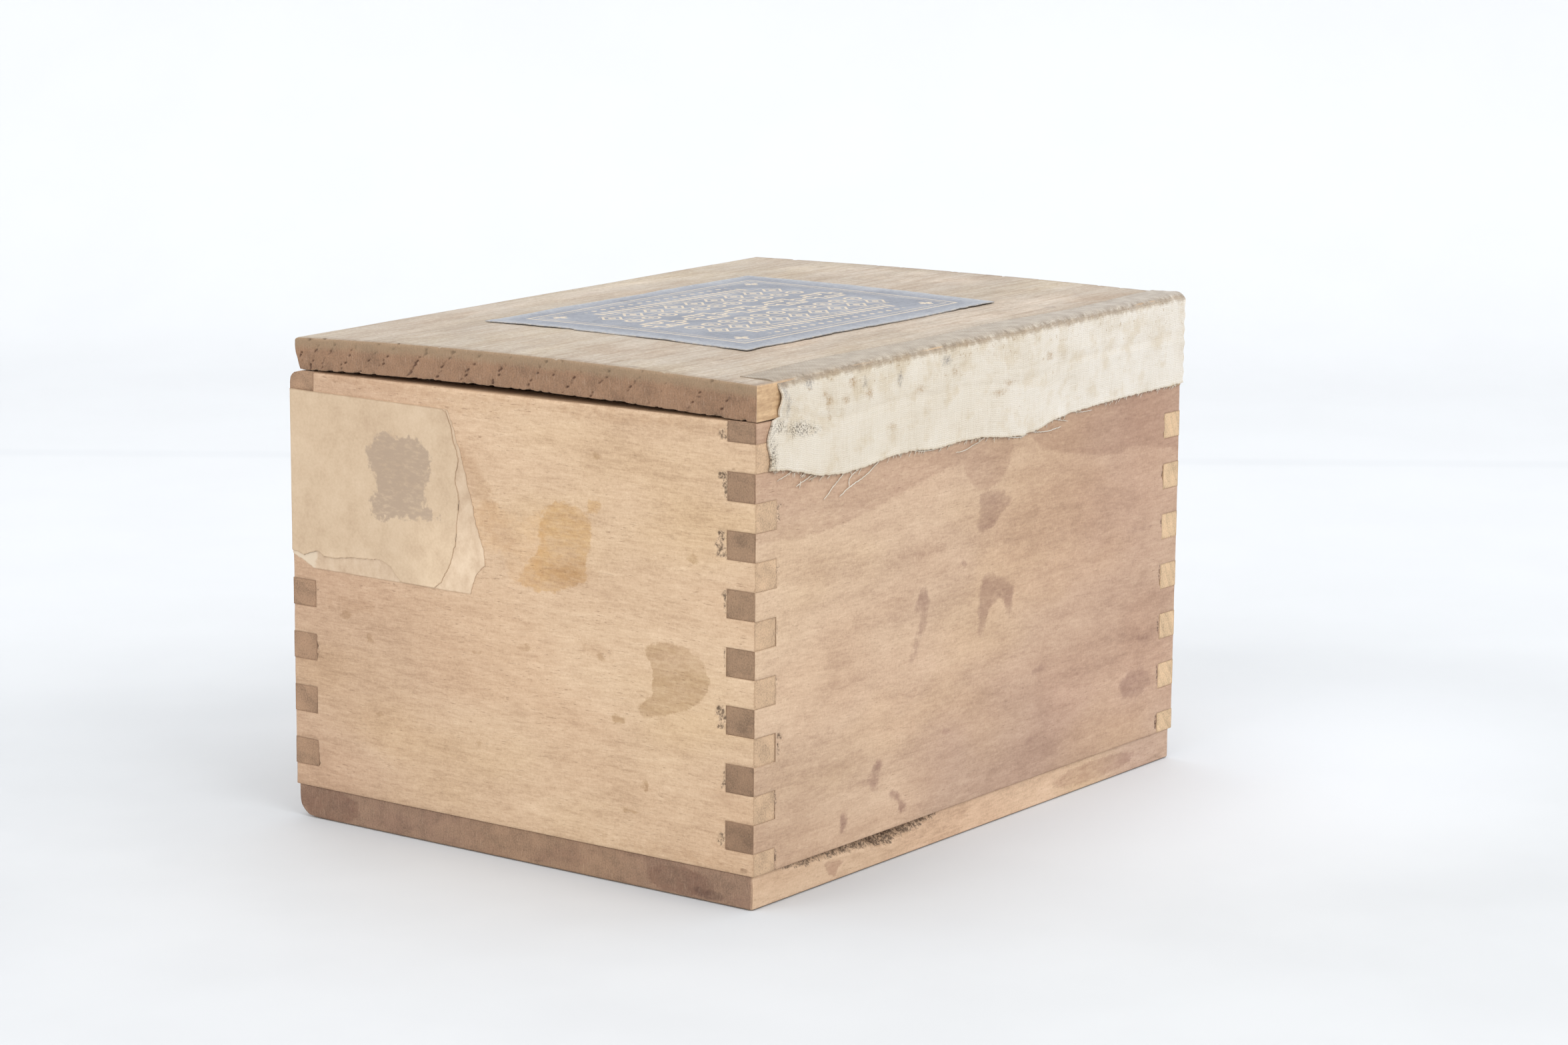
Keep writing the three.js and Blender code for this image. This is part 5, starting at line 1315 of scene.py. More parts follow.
def sheet_on_wall(name, poly_yz, x_base, thick, mat, attrs_fn):
    """A flat sheet of paper on the +X end wall, its outline in (y, z); y below -YO wraps round the front corner."""
    step_ = 0.42
    y0, y1 = poly_yz[:, 0].min(), poly_yz[:, 0].max()
    z0, z1 = poly_yz[:, 1].min(), poly_yz[:, 1].max()
    bm_ = bmesh.new()
    vs = [bm_.verts.new((p[0], p[1], 0)) for p in poly_yz]
    f_ = bm_.faces.new(vs)
    bmesh.ops.triangulate(bm_, faces=[f_])
    # cut into a fine grid so that it can follow the surface
    for c in np.arange(y0 + step_, y1, 1.1):
        bmesh.ops.bisect_plane(bm_, geom=bm_.verts[:] + bm_.edges[:] + bm_.faces[:], plane_co=(c, 0, 0), plane_no=(1, 0, 0))
    for c in np.arange(-YO - 1.2, -YO + 1.3, 0.3):
        bmesh.ops.bisect_plane(bm_, geom=bm_.verts[:] + bm_.edges[:] + bm_.faces[:], plane_co=(c, 0, 0), plane_no=(1, 0, 0))
    for c in np.arange(z0 + step_, z1, 1.1):
        bmesh.ops.bisect_plane(bm_, geom=bm_.verts[:] + bm_.edges[:] + bm_.faces[:], plane_co=(0, c, 0), plane_no=(0, 1, 0))
    bmesh.ops.remove_doubles(bm_, verts=bm_.verts, dist=1e-4)
    bm_.verts.index_update()
    pts = np.array([tuple(v.co) for v in bm_.verts])
    faces_ = [tuple(v.index for v in f.verts) for f in bm_.faces]
    border = [(e.verts[0].index, e.verts[1].index) for e in bm_.edges if len(e.link_faces) == 1]
    bm_.free()
    yy, zz = pts[:, 0], pts[:, 1]
    d = np.abs(poly_sdf(yy, zz, poly_yz))
    S_ = np.stack([yy, zz, 0 * yy], 1)
    lift = attrs_fn(yy, zz, d, S_, "lift")
    r = 0.8
    def place(off):
        o = x_base + off
        # arc length coordinate s past the corner
        s = (-YO + r) - yy
        ang = np.clip(s / r, 0, math.pi / 2)
        over = np.clip(s - r * math.pi / 2, 0, None)
        X_ = np.where(s <= 0, XO + o, XO - r + (r + o) * np.cos(ang) - over)
        Y_ = np.where(s <= 0, yy, -YO + r - (r + o) * np.sin(ang))
        return np.stack([X_, Y_, zz], 1)
    top_, bot_ = place(thick + lift), place(np.maximum(lift - 0.02, 0.0) * 1.0)
    n_ = len(pts)
    F2 = list(faces_) + [tuple(n_ + k for k in reversed(f)) for f in faces_]
    F2 += [(a, b, b + n_, a + n_) for a, b in border]
    at = attrs_fn(yy, zz, d, S_, "attrs")
    at = {k: np.concatenate([v_, v_]) for k, v_ in at.items()}
    ob = piece(name, np.concatenate([top_, bot_]), F2, [mat], at, sharp=70)
    bm_ = bmesh.new()
    bm_.from_mesh(ob.data)
    bmesh.ops.recalc_face_normals(bm_, faces=bm_.faces)
    bm_.to_mesh(ob.data)
    bm_.free()
    return ob


def seal_material():
    t = Tree("seal_paper", 0.75, 0.25)
    P = t.P
    fib = t.noise(P, 1.8, 4.0, 0.6)
    cloud = t.noise(P, 0.08, 3.0, 0.55)
    mott = t.noise(P, 0.35, 3.0, 0.6)
    tone = t.add(t.mul(fib, 0.3), t.mul(cloud, 0.55), t.mul(mott, 0.3))
    col = t.grad(tone, [(0.42, (0.455, 0.325, 0.215)), (0.58, (0.530, 0.393, 0.265)), (0.78, (0.600, 0.460, 0.322))])
    rag = t.add(t.noise(P, 0.6, 5.0, 0.68), -0.5)
    sc = t.ramp(t.add(t.attr("scuff"), t.mul(rag, 5.5)), 0.45, -0.45)
    streak = t.ramp(t.noise(t.vec("MULTIPLY", P, (1.0, 0.40, 1.1)), 1.2, 5.0, 0.7), 0.30, 0.56, 0.5, 1.0)
    col = t.mix(t.mul(t.mul(sc, streak), 0.9), col, (0.365, 0.270, 0.195))
    torn = t.ramp(t.add(t.attr("torn"), t.mul(rag, 1.6)), 0.25, -0.25)
    tm = t.add(t.noise(t.vec("MULTIPLY", P, (1.0, 0.9, 0.7)), 0.45, 4.0, 0.6), t.mul(t.add(fib, -0.5), 0.25))
    tcol = t.grad(tm, [(0.30, (0.470, 0.335, 0.225)), (0.52, (0.545, 0.405, 0.280)), (0.74, (0.610, 0.470, 0.338))])
    col = t.mix(torn, col, tcol)
    white = t.ramp(t.add(t.attr("pale"), t.mul(rag, 2.5)), 0.4, -0.4)
    col = t.mix(t.mul(white, 0.7), col, (0.64, 0.53, 0.40))
    e = t.ramp(t.add(t.attr("rim"), t.mul(rag, 0.3)), 0.22, 0.02)
    col = t.mix(t.mul(e, 0.30), col, (0.50, 0.41, 0.33), "MULTIPLY")
    # painted light: the lower right of the seal is lightened, so its left stays darker, following the light that falls
    # off towards the front of the end wall
    right = t.mul(t.ramp(t.xyz(P)[1], -32.0, -18.0), t.ramp(t.xyz(P)[2], 70.0, 58.0))
    col = t.mix(right, col, (1.17, 1.19, 1.20), "MULTIPLY")
    t.put(t.b.inputs["Base Color"], col)
    t.put(t.b.inputs["Normal"], t.bump(t.add(t.mul(fib, 0.7), t.mul(torn, mott)), 0.05, 0.6))
    return t.m


m_seal = seal_material()
# outline of the remains, (y, z) unrolled round the corner: y below -57 runs on along the front wall
low_poly = [(-66.4, 53.0), (-64.6, 54.0), (-57.6, 53.6), (-53.8, 52.2), (-50.7, 50.9), (-30, 50.75), (-10.4, 50.65), (-8.8, 54.6), (-6.6, 56.6), (-6.9, 59.6), (-8.9, 64.2), (-9.4, 67.6), (-10.8, 71.2), (-12.0, 76.0), (-13.2, 79.2),
            (-14.6, 82.8), (-15.6, 85.2), (-16.2, 85.7), (-36, 85.85), (-57.6, 86.1), (-66.0, 86.0), (-67.4, 80), (-65.9, 74), (-67.8, 66), (-66.0, 59)]
top_poly = [(-66.2, 56.0), (-63.0, 55.6), (-57.6, 54.2), (-53.5, 53.2), (-50.6, 54.4), (-46, 53.6), (-40, 54.3), (-33.5, 54.6), (-30.6, 53.6), (-28.8, 51.6), (-28.2, 50.9), (-19.6, 50.8), (-17.4, 52.6), (-15.4, 55.8), (-14.0, 59.5), (-13.6, 64.0),
            (-13.0, 68.5), (-13.9, 72.5), (-13.1, 76.4), (-14.3, 79.6), (-15.2, 83.0), (-16.2, 85.3), (-17.0, 85.6), (-36, 85.8), (-57.6, 86.0), (-65.6, 85.9), (-66.9, 80), (-65.4, 74), (-67.2, 66), (-65.5, 60)]


def seal_attrs(yy, zz, d, S_, what):
    if what == "lift":
        return 0.02 + 0.05 * np.clip(fbm(S_, 0.12, 2, 101) + 0.3, 0, 1) + 0.10 * step(d, 0.9, 0.0) * np.clip(fbm(S_, 0.25, 2, 102) + 0.2, 0, 1)
    return {"scuff": union(poly_sdf(yy, zz, [(-36.6, 76), (-34, 78.6), (-31.5, 79.6), (-28, 78.9), (-24, 79.2), (-20.2, 77.2), (-20, 74), (-21.6, 70), (-22, 66.2), (-18, 65), (-20, 64), (-29, 63.4), (-34.6, 62.6), (-35.4, 66.5), (-33.6, 69), (-35.6, 72.8)])),
            "torn": np.full(len(yy), 5.0), "pale": np.full(len(yy), 9.0), "rim": d}


def under_attrs(yy, zz, d, S_, what):
    if what == "lift":
        return 0.01 + 0.03 * np.clip(fbm(S_, 0.2, 2, 103) + 0.3, 0, 1)
    return {"scuff": np.full(len(yy), 9.0), "torn": np.full(len(yy), -1.0), "pale": union(poly_sdf(yy, zz, [(-70, 56), (-50, 54.5), (-50.6, 50), (-70, 50)])), "rim": d}


low_p = dense(low_poly, 0.35, 0.35, 111, keep=(4, 5, 17, 18, 19))
top_p = dense(top_poly, 0.35, 0.42, 113, keep=(10, 22, 23, 24))
seal_low = sheet_on_wall("paper_seal_under", low_p, 0.015, 0.06, m_seal, under_attrs)
seal_top = sheet_on_wall("paper_seal_face", top_p, 0.08, 0.11, m_seal, seal_attrs)
for s_ in (seal_low, seal_top):
    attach(s_, "box")
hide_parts("paper_seal")

# ------------------------------------------------------------------ brads
t = Tree("brad_steel", 0.45, 0.5)
t.b.inputs["Metallic"].default_value = 0.85
nz_ = t.noise(t.P, 1.5, 4.0, 0.6)
t.put(t.b.inputs["Base Color"], t.mix(t.ramp(nz_, 0.42, 0.62), (0.30, 0.29, 0.28), (0.16, 0.085, 0.045)))
t.put(t.b.inputs["Roughness"], t.ramp(nz_, 0.3, 0.7, 0.35, 0.8))
t.put(t.b.inputs["Normal"], t.bump(nz_, 0.05, 0.6))
m_brad = t.m
for n_ in [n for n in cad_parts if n.startswith("brad_")]:
    lo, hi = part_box(n_)
    cx, cy = (lo[0] + hi[0]) / 2 / MM - OX / MM, (lo[1] + hi[1]) / 2 / MM - OY / MM
    prof = [(0.0, 0.62), (0.55, 0.60), (0.95, 0.68), (1.12, 0.84), (1.12, 1.1), (1.0, 1.2), (0.62, 1.24), (0.62, 14.8), (0.34, 16.2), (0.0, 16.95)]
    V_, F_ = [], []
    S_ = 18
    for r_, z_h in prof:
        if r_ == 0:
            V_.append((cx, cy, z_h))
        else:
            V_ += [(cx + r_ * math.cos(2 * math.pi * k / S_), cy + r_ * math.sin(2 * math.pi * k / S_), z_h) for k in range(S_)]
    base_i = 1
    for k in range(S_):
        F_.append((0, base_i + (k + 1) % S_, base_i + k))
    for ring_i in range(len(prof) - 3):
        a, b = 1 + ring_i * S_, 1 + (ring_i + 1) * S_
        for k in range(S_):
            F_.append((a + k, a + (k + 1) % S_, b + (k + 1) % S_, b + k))
    last = len(V_) - 1
    a = last - S_
    for k in range(S_):
        F_.append((a + k, a + (k + 1) % S_, last))
    ob = piece(n_ + "_steel", np.array(V_), F_, [m_brad], sharp=50)
    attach(ob, "box")
    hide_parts(n_)

# ------------------------------------------------------------------ jigsaw pieces
KNOB = [(0.405, 0.0), (0.435, 0.045), (0.385, 0.12), (0.42, 0.2), (0.5, 0.232), (0.58, 0.2), (0.615, 0.12), (0.565, 0.045), (0.595, 0.0)]


def jsign(a, b, c):
    return 1 if (a * 7 + b * 13 + c * 5 + ((a * b) % 3)) % 2 == 0 else -1


def slip(a, b):
    return (((a * 31 + b * 17) % 7) - 3) * 0.014


def smooth_knob(sub=4):
    pts = [(0.30, 0.0)] + KNOB + [(0.70, 0.0)]
    out = []
    for i in range(1, len(pts) - 2):
        p0, p1, p2, p3 = (np.array(pts[k]) for k in (i - 1, i, i + 1, i + 2))
        for s in range(sub):
            q = s / sub
            out.append(tuple(0.5 * ((2 * p1) + (-p0 + p2) * q + (2 * p0 - 5 * p1 + 4 * p2 - p3) * q * q + (-p0 + 3 * p1 - 3 * p2 + p3) * q ** 3)))
    out.append(KNOB[-1])
    return out


SK = smooth_knob()


def edge_pts(x0, y0, x1, y1, bulge, off):
    dx_, dy_ = x1 - x0, y1 - y0
    pts = [(x0, y0)]
    if bulge != 0:
        for s, h in SK:
            q = s + off
            pts.append((x0 + dx_ * q - dy_ * h * bulge, y0 + dy_ * q + dx_ * h * bulge))
    else:
        for q in (0.25, 0.5, 0.75):
            pts.append((x0 + dx_ * q, y0 + dy_ * q))
    return pts


def outline(c, r):
    Pp = PITCH
    x0, x1, y0, y1 = -Pp / 2, Pp / 2, -Pp / 2, Pp / 2
    vert = lambda line: 0 if line in (0, COLS) else jsign(line, r, 1)
    horz = lambda line: 0 if line in (0, ROWS) else jsign(c, line, 2)
    bottom = edge_pts(x0, y0, x1, y0, horz(r), slip(c, r + 9))
    right = edge_pts(x1, y0, x1, y1, -vert(c + 1), slip(c + 1, r))
    top_e = edge_pts(x0, y1, x1, y1, horz(r + 1), slip(c, r + 10))[1:][::-1]
    left = edge_pts(x0, y0, x0, y1, -vert(c), slip(c, r))[1:][::-1]
    return np.array(bottom + right + [(x1, y1)] + top_e + [(x0, y1)] + left)


def offset_in(loop, d):
    a, b = np.roll(loop, 1, 0), np.roll(loop, -1, 0)
    e1, e2 = loop - a, b - loop
    e1 /= np.linalg.norm(e1, axis=1)[:, None] + 1e-9
    e2 /= np.linalg.norm(e2, axis=1)[:, None] + 1e-9
    n1, n2 = np.stack([-e1[:, 1], e1[:, 0]], 1), np.stack([-e2[:, 1], e2[:, 0]], 1)
    m = n1 + n2
    L = np.linalg.norm(m, axis=1)[:, None] + 1e-9
    m = m / L
    k = np.clip(1.0 / np.clip((m * n1).sum(1), 0.6, 1), 1, 1.6)
    return loop + m * (d * k)[:, None]


PILES = [
    (-45.6, -24.6, [(0, 0), (3, 4), (6, 1), (1, 3), (4, 0), (2, 5), (5, 3)]),
    (0.2, -25.0, [(5, 5), (0, 2), (2, 1), (6, 4), (3, 0), (1, 5), (3, 2)]),
    (45.5, -24.4, [(6, 0), (1, 1), (4, 5), (0, 4), (5, 2), (2, 3), (1, 4)]),
    (-45.4, 24.8, [(2, 0), (5, 4), (0, 1), (3, 5), (6, 3), (4, 1), (2, 2)]),
    (-0.2, 24.5, [(4, 4), (6, 5), (1, 0), (0, 3), (3, 1), (5, 0), (4, 2)]),
    (45.6, 25.0, [(0, 5), (2, 4), (6, 2), (5, 1), (1, 2), (3, 3), (4, 3)]),
]


def print_material():
    """The pasted print: a plain painted landscape with hills, a lake, fields and trees."""
    t = Tree("puzzle_print", 0.42, 0.45)
    q = t.attr("pic", "Vector")
    x, y, _ = t.xyz(q)
    flatv = t.join(x, y, 0.0)
    ridge = lambda s, f, lo, hi: t.ramp(t.noise(t.join(t.mul(x, f), s, 0.0), 1.0, 3.0, 0.5), 0.25, 0.75, lo, hi, "LINEAR")
    sky = t.grad(t.ramp(y, 95.0, 171.0, 0.0, 1.0, "LINEAR"), [(0.0, (0.86, 0.72, 0.50)), (0.35, (0.72, 0.74, 0.66)), (1.0, (0.26, 0.46, 0.58))])
    cl = t.ramp(t.noise(t.join(t.mul(x, 0.5), y, 0.0), 0.06, 4.0, 0.55), 0.52, 0.64)
    col = t.mix(t.mul(cl, 0.75), sky, (0.90, 0.85, 0.74))
    sun = t.ramp(t.add(t.vec("LENGTH", t.vec("ADD", flatv, (-150.0, -132.0, 0.0))), 0.0), 9.6, 9.0)
    col = t.mix(sun, col, (0.88, 0.52, 0.20))

    def layer(col, top, shade, tone_f, a, b):
        m = t.ramp(t.add(y, t.mul(top, -1.0)), 0.25, -0.25)
        tex = t.ramp(t.noise(flatv, tone_f, 4.0, 0.6), 0.35, 0.65)
        return t.mix(m, col, t.mix(tex, a, b))

    col = layer(col, ridge(3.0, 0.018, 100.0, 138.0), 0, 0.06, (0.22, 0.30, 0.38), (0.34, 0.42, 0.48))
    col = layer(col, ridge(7.0, 0.022, 88.0, 118.0), 0, 0.08, (0.16, 0.27, 0.20), (0.28, 0.38, 0.24))
    col = layer(col, ridge(11.0, 0.012, 82.0, 92.0), 0, 0.05, (0.10, 0.30, 0.40), (0.20, 0.42, 0.50))
    glint = t.ramp(t.noise(t.join(t.mul(x, 0.25), t.mul(y, 2.0), 0.0), 0.5, 2.0), 0.62, 0.68)
    inlake = t.mul(t.ramp(y, 66.0, 68.0), t.ramp(y, 90.0, 86.0))
    col = t.mix(t.mul(t.mul(glint, inlake), 0.7), col, (0.75, 0.80, 0.74))
    col = layer(col, ridge(15.0, 0.016, 60.0, 78.0), 0, 0.10, (0.36, 0.40, 0.12), (0.52, 0.50, 0.18))
    col = layer(col, ridge(19.0, 0.02, 34.0, 52.0), 0, 0.10, (0.58, 0.38, 0.12), (0.70, 0.52, 0.20))
    rows = t.ramp(t.math("SINE", t.add(t.mul(x, 0.9), t.mul(y, 1.5))), -0.2, 0.5)
    infield = t.mul(t.ramp(t.add(y, t.mul(ridge(19.0, 0.02, 34.0, 52.0), -1.0)), 0.0, -1.0), t.ramp(y, 20.0, 24.0))
    col = t.mix(t.mul(t.mul(rows, infield), 0.35), col, (0.40, 0.24, 0.07))
    col = layer(col, ridge(23.0, 0.025, 12.0, 30.0), 0, 0.12, (0.12, 0.22, 0.08), (0.22, 0.33, 0.12))
    # round trees
    cell = t.cells(flatv, 0.075)
    tr = t.mul(t.ramp(cell, 0.36, 0.30), t.mul(t.ramp(y, 26.0, 34.0), t.ramp(y, 84.0, 74.0)))
    keep = t.ramp(t.noise(flatv, 0.02, 1.0), 0.5, 0.53)
    leaf = t.mix(t.ramp(t.noise(flatv, 0.45, 3.0), 0.4, 0.6), (0.06, 0.13, 0.05), (0.20, 0.30, 0.10))
    col = t.mix(t.mul(tr, keep), col, leaf)
    # a path
    px = t.add(t.mul(t.math("SINE", t.mul(y, 0.075)), 16.0), 92.0)
    wdt = t.ramp(y, 0.0, 70.0, 8.0, 0.8, "LINEAR")
    path = t.mul(t.ramp(t.math("SUBTRACT", t.math("ABSOLUTE", t.add(x, t.mul(px, -1.0))), wdt), 0.3, -0.3), t.ramp(y, 62.0, 58.0))
    col = t.mix(path, col, (0.76, 0.66, 0.48))
    # a cottage: walls, roof, door
    def rect(x0, x1, y0, y1):
        return t.mul(t.mul(t.ramp(x, x0 - 0.15, x0 + 0.15), t.ramp(x, x1 + 0.15, x1 - 0.15)), t.mul(t.ramp(y, y0 - 0.15, y0 + 0.15), t.ramp(y, y1 + 0.15, y1 - 0.15)))
    col = t.mix(rect(34, 58, 46, 60), col, (0.84, 0.80, 0.68))
    roof = t.mul(t.mul(t.ramp(y, 59.6, 60.0), t.ramp(t.add(t.math("ABSOLUTE", t.add(x, -46.0)), t.mul(t.add(y, -60.0), 0.9)), 15.2, 14.8)), t.ramp(y, 71.2, 70.8))
    col = t.mix(roof, col, (0.52, 0.16, 0.09))
    col = t.mix(rect(44, 48.5, 46, 55), col, (0.20, 0.26, 0.30))
    col = t.mix(rect(37, 41, 51, 56), col, (0.26, 0.34, 0.40))
    col = t.mix(rect(51.5, 55.5, 51, 56), col, (0.26, 0.34, 0.40))
    # plain border, and age
    bx = t.math("MINIMUM", x, t.add(COLS * PITCH, t.mul(x, -1.0)))
    by = t.math("MINIMUM", y, t.add(ROWS * PITCH, t.mul(y, -1.0)))
    bd = t.math("MINIMUM", bx, by)
    col = t.mix(t.ramp(bd, 5.1, 4.9), col, (0.78, 0.70, 0.54))
    col = t.mix(t.mul(t.ramp(t.math("ABSOLUTE", t.add(bd, -3.6)), 0.35, 0.2), 0.9), col, (0.30, 0.14, 0.08))
    fib = t.noise(q, 1.4, 4.0, 0.6)
    age = t.noise(t.P, 0.05, 3.0, 0.6)
    col = t.mix(t.ramp(fib, 0.3, 0.8, 0.0, 0.16), col, (0.80, 0.72, 0.55))
    col = t.mix(t.ramp(age, 0.35, 0.75, 0.0, 0.22), col, (0.70, 0.60, 0.42), "MULTIPLY")
    rim = t.ramp(t.add(t.attr("rim"), t.mul(fib, 0.5)), 0.75, 0.2)
    col = t.mix(t.mul(rim, 0.6), col, (0.62, 0.50, 0.34))
    t.put(t.b.inputs["Base Color"], col)
    t.put(t.b.inputs["Roughness"], t.ramp(fib, 0.3, 0.7, 0.34, 0.55))
    t.put(t.b.inputs["Normal"], t.bump(fib, 0.03, 0.5))
    return t.m


def ply_material():
    t = Tree("puzzle_ply", 0.68, 0.3)
    q = t.attr("pic", "Vector")
    x, y, z = t.xyz(q)
    long_g = t.noise(t.join(t.mul(x, 0.10), y, t.mul(z, 1.5)), 2.0, 4.0, 0.6)
    cross_g = t.noise(t.join(x, t.mul(y, 0.10), t.mul(z, 1.5)), 2.0, 4.0, 0.6)
    core = t.mul(t.ramp(z, 1.95, 2.15), t.ramp(z, 4.35, 4.15))
    nx2, ny2, nz2 = t.xyz(t.tc.outputs["Normal"])
    a = t.grad(long_g, [(0.3, (0.42, 0.28, 0.16)), (0.6, (0.60, 0.44, 0.27)), (0.8, (0.68, 0.52, 0.34))])
    b = t.grad(cross_g, [(0.3, (0.27, 0.165, 0.09)), (0.6, (0.40, 0.26, 0.15)), (0.8, (0.50, 0.34, 0.2))])
    col = t.mix(core, a, b)
    glue = t.math("MAXIMUM", t.ramp(t.math("ABSOLUTE", t.add(z, -2.05)), 0.12, 0.05), t.ramp(t.math("ABSOLUTE", t.add(z, -4.25)), 0.12, 0.05))
    col = t.mix(t.mul(glue, 0.6), col, (0.22, 0.12, 0.06))
    saw = t.noise(t.join(x, y, t.mul(z, 0.2)), 3.5, 2.0)
    t.put(t.b.inputs["Base Color"], t.mix(t.ramp(saw, 0.55, 0.8, 0.0, 0.35), col, (0.30, 0.2, 0.11)))
    t.put(t.b.inputs["Normal"], t.bump(t.add(saw, t.mul(long_g, 0.6)), 0.09, 0.7))
    return t.m


m_print, m_ply = print_material(), ply_material()
for k_, (pxc, pyc, seq) in enumerate(PILES):
    for i_, (c_, r_) in enumerate(seq):
        name_ = f"piece_r{r_ + 1}c{c_ + 1}"
        turn = ((k_ * 3 + i_ * 2 + c_) % 4) * 90 + (((k_ * 5 + i_ * 7 + r_ * 3) % 9) - 4) * 0.9
        dx_ = (((c_ * 5 + i_ * 3 + k_) % 5) - 2) * 0.28
        dy_ = (((r_ * 3 + i_ * 5 + k_ * 2) % 5) - 2) * 0.5
        loop = offset_in(outline(c_, r_), KERF / 2)
        T_ = PLY
        rings = [(0.22, 0.0), (0.05, 0.06), (0.0, 0.22), (0.0, 2.02), (0.035, 2.10), (0.035, 4.20), (0.0, 4.28), (0.0, T_ - 0.26), (0.05, T_ - 0.08), (0.16, T_ - 0.015), (0.30, T_)]
        V_, pic, rim_ = [], [], []
        for inset, z_h in rings:
            L_ = offset_in(loop, inset)
            for p in L_:
                V_.append((p[0], p[1], z_h))
                rim_.append(0.0 if z_h < T_ - 0.1 else inset)
        n = len(loop)
        F_, mi = [], []
        for a in range(len(rings) - 1):
            for b in range(n):
                F_.append((a * n + b, a * n + (b + 1) % n, (a + 1) * n + (b + 1) % n, (a + 1) * n + b))
                mi.append(0 if a >= len(rings) - 3 else 1)
        # an inner loop keeps the printed face's rim narrow
        inner = offset_in(loop, 0.48)
        s0 = len(V_)
        for p in inner:
            V_.append((p[0], p[1], T_))
            rim_.append(1.4)
        top0 = (len(rings) - 1) * n
        for b in range(n):
            F_.append((top0 + b, top0 + (b + 1) % n, s0 + (b + 1) % n, s0 + b))
            mi.append(0)
        F_.append(tuple(s0 + b for b in range(n)))
        mi.append(0)
        F_.append(tuple(reversed(range(n))))
        mi.append(1)
        V_ = np.array(V_)
        pic = np.stack([V_[:, 0] + (c_ + 0.5) * PITCH, V_[:, 1] + (r_ + 0.5) * PITCH, V_[:, 2]], 1)
        ca, sa = math.cos(math.radians(turn)), math.sin(math.radians(turn))
        Q = np.stack([V_[:, 0] * ca - V_[:, 1] * sa + pxc + dx_, V_[:, 0] * sa + V_[:, 1] * ca + pyc + dy_, V_[:, 2] + BASE_T + PLY * i_ + 0.02], 1)
        ob = piece(name_ + "_ply", Q, F_, [m_print, m_ply], {"pic": pic, "rim": np.array(rim_)}, mat_index=mi, sharp=42)
        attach(ob, name_)
        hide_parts(name_)

# ------------------------------------------------------------------ floor and backdrop
fm = Tree("floor_paper", 0.75, 0.2)
fn = fm.noise(fm.P, 0.02, 3.0)
# across the table from the front: s is measured along the sweep, 0 under the box
fs = fm.vec("DOT_PRODUCT", fm.P, (-math.sin(math.radians(126.16)), math.cos(math.radians(126.16)), 0.0))
# painted light: the floor colour is graded along s, lighter towards the far side and again far in front, standing in
# for the brighter grazing light on the far floor
fcol = fm.grad(fm.ramp(fs, -200.0, 400.0, 0.0, 1.0, "LINEAR"), [(0.0, (0.535, 0.540, 0.550)), (0.2, (0.515, 0.523, 0.535)), (0.36, (0.530, 0.540, 0.552)), (0.58, (0.600, 0.608, 0.620)), (1.0, (0.625, 0.630, 0.640))])
edge_l = fm.ramp(fm.math("ABSOLUTE", fm.add(fs, -430.0)), 11.0, 2.0)
fcol = fm.mix(fm.mul(edge_l, 0.55), fcol, (0.93, 0.935, 0.945), "MULTIPLY")
# painted light: a soft lighter patch on the floor just behind the box's -X, +Y corner, lifting the shadow the box casts
# there
fcol = fm.mix(fm.ramp(fm.vec("LENGTH", fm.vec("MULTIPLY", fm.vec("ADD", fm.P, (70.0, -74.0, 0.0)), (0.72, 1.0, 0.0))), 95.0, 15.0), fcol, (1.20, 1.20, 1.21), "MULTIPLY")
fcol = fm.mix(fm.ramp(fm.xyz(fm.P)[1], 60.0, 160.0), fcol, (1.01, 1.01, 1.005), "MULTIPLY")
fcol = fm.mix(fm.ramp(fs, -350.0, -1200.0), fcol, (0.90, 0.905, 0.915))
fm.put(fm.b.inputs["Base Color"], fm.mix(fm.ramp(fn, 0.3, 0.7, 0.0, 0.12), fcol, (0.70, 0.71, 0.72)))
prof = []
fwd_az = math.radians(126.16)
away = Vector((-math.sin(fwd_az), math.cos(fwd_az), 0))      # from the camera across the table
side = Vector((math.cos(fwd_az), math.sin(fwd_az), 0))
dist0, rad_ = 0.62, 0.25
for s in np.linspace(-3.0, dist0, 24):
    prof.append((s, 0.0))
for k in range(1, 17):
    a = math.pi / 2 * k / 16
    prof.append((dist0 + rad_ * math.sin(a), rad_ * (1 - math.cos(a))))
for s in np.linspace(0.4, 2.6, 8):
    prof.append((dist0 + rad_, s))
V_, F_ = [], []
for s, h in prof:
    for q in (-4.0, -1.5, -0.5, 0.5, 1.5, 4.0):
        p = away * s + side * q
        V_.append((p.x / MM - OX / MM, p.y / MM - OY / MM, h / MM - 0.02))
for i in range(len(prof) - 1):
    for j in range(5):
        a = i * 6 + j
        F_.append((a, a + 1, a + 7, a + 6))
sweep = piece("floor_sweep", np.array(V_), F_, [fm.m])

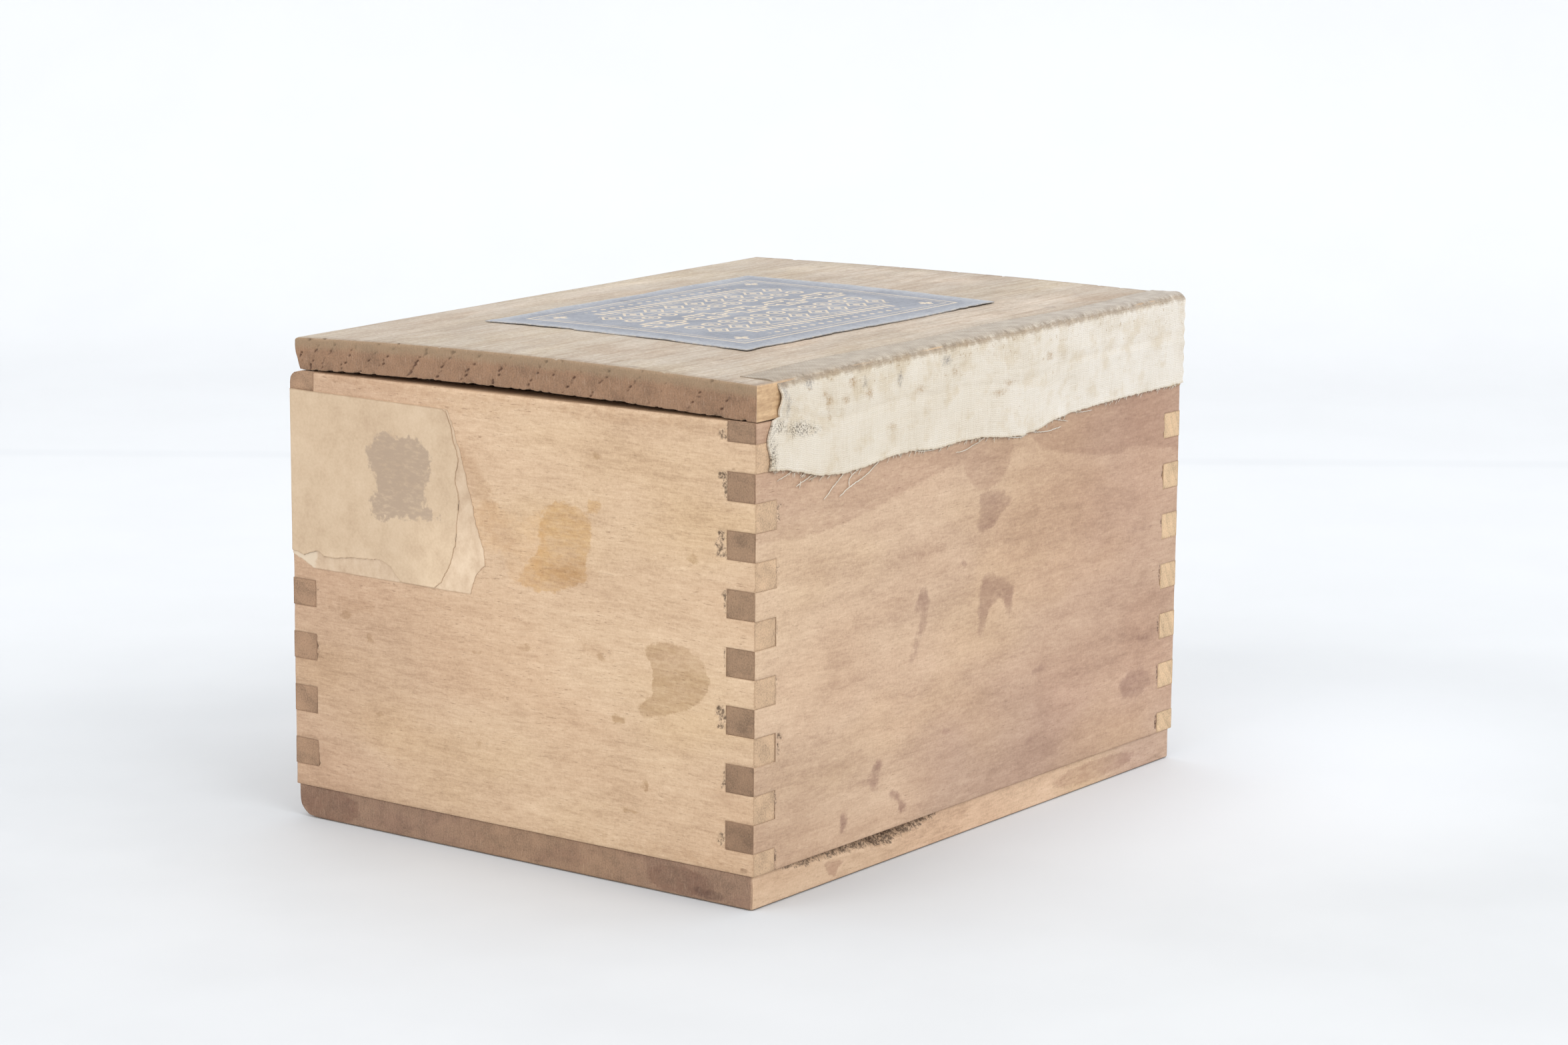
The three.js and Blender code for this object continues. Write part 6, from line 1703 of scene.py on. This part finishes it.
# ------------------------------------------------------------------ light
scene = bpy.context.scene
world = bpy.data.worlds.new("soft_room")
scene.world = world
world.use_nodes = True
world.node_tree.nodes["Background"].inputs[0].default_value = (0.93, 0.965, 1.0, 1)
world.node_tree.nodes["Background"].inputs[1].default_value = 1.08


def area(name, loc, target, size, power, color=(1, 1, 1)):
    d = bpy.data.lights.new(name, "AREA")
    d.shape, d.size, d.size_y = "RECTANGLE", size[0], size[1]
    d.energy, d.color = power, color
    o = bpy.data.objects.new(name, d)
    scene.collection.objects.link(o)
    o.location = loc
    o.rotation_euler = (Vector(target) - Vector(loc)).to_track_quat("-Z", "Y").to_euler()
    return o


area("key", (0.15, 1.35, 1.15), (0, 0, 0.05), (1.3, 1.0), 11.2, (1.0, 0.975, 0.94))
area("fill", (1.45, -0.35, 0.95), (0, 0, 0.05), (1.2, 1.0), 10.8, (1.0, 0.985, 0.96))
area("top", (-0.1, -0.05, 1.6), (0, 0, 0), (1.6, 1.6), 10.5, (0.98, 0.99, 1.0))

# ------------------------------------------------------------------ camera
cam_d = bpy.data.cameras.new("camera")
cam_d.sensor_width, cam_d.lens = 36.0, 5412.30 / 2352 * 36.0
cam_d.clip_start, cam_d.clip_end = 0.01, 50
cam = bpy.data.objects.new("camera", cam_d)
scene.collection.objects.link(cam)
scene.camera = cam
az, el, dist, roll = 2.20192426, 0.176113827, 748.047434, 0.00783682932
back_v = Vector((math.sin(az) * math.cos(el), -math.cos(az) * math.cos(el), math.sin(el)))
pos = Vector((-11.5836943, 0, 53.6091302)) + back_v * dist
fwd = -back_v
right = fwd.cross(Vector((0, 0, 1))).normalized()
up = right.cross(fwd)
r_ = right * math.cos(roll) + up * math.sin(roll)
u_ = -right * math.sin(roll) + up * math.cos(roll)
M = Matrix((r_, u_, back_v)).transposed().to_4x4()
M.translation = pos * MM + Vector((OX, OY, 0))
cam.matrix_world = M

scene.view_settings.view_transform = "Standard"
scene.view_settings.look = "None"
scene.view_settings.exposure = 0.0
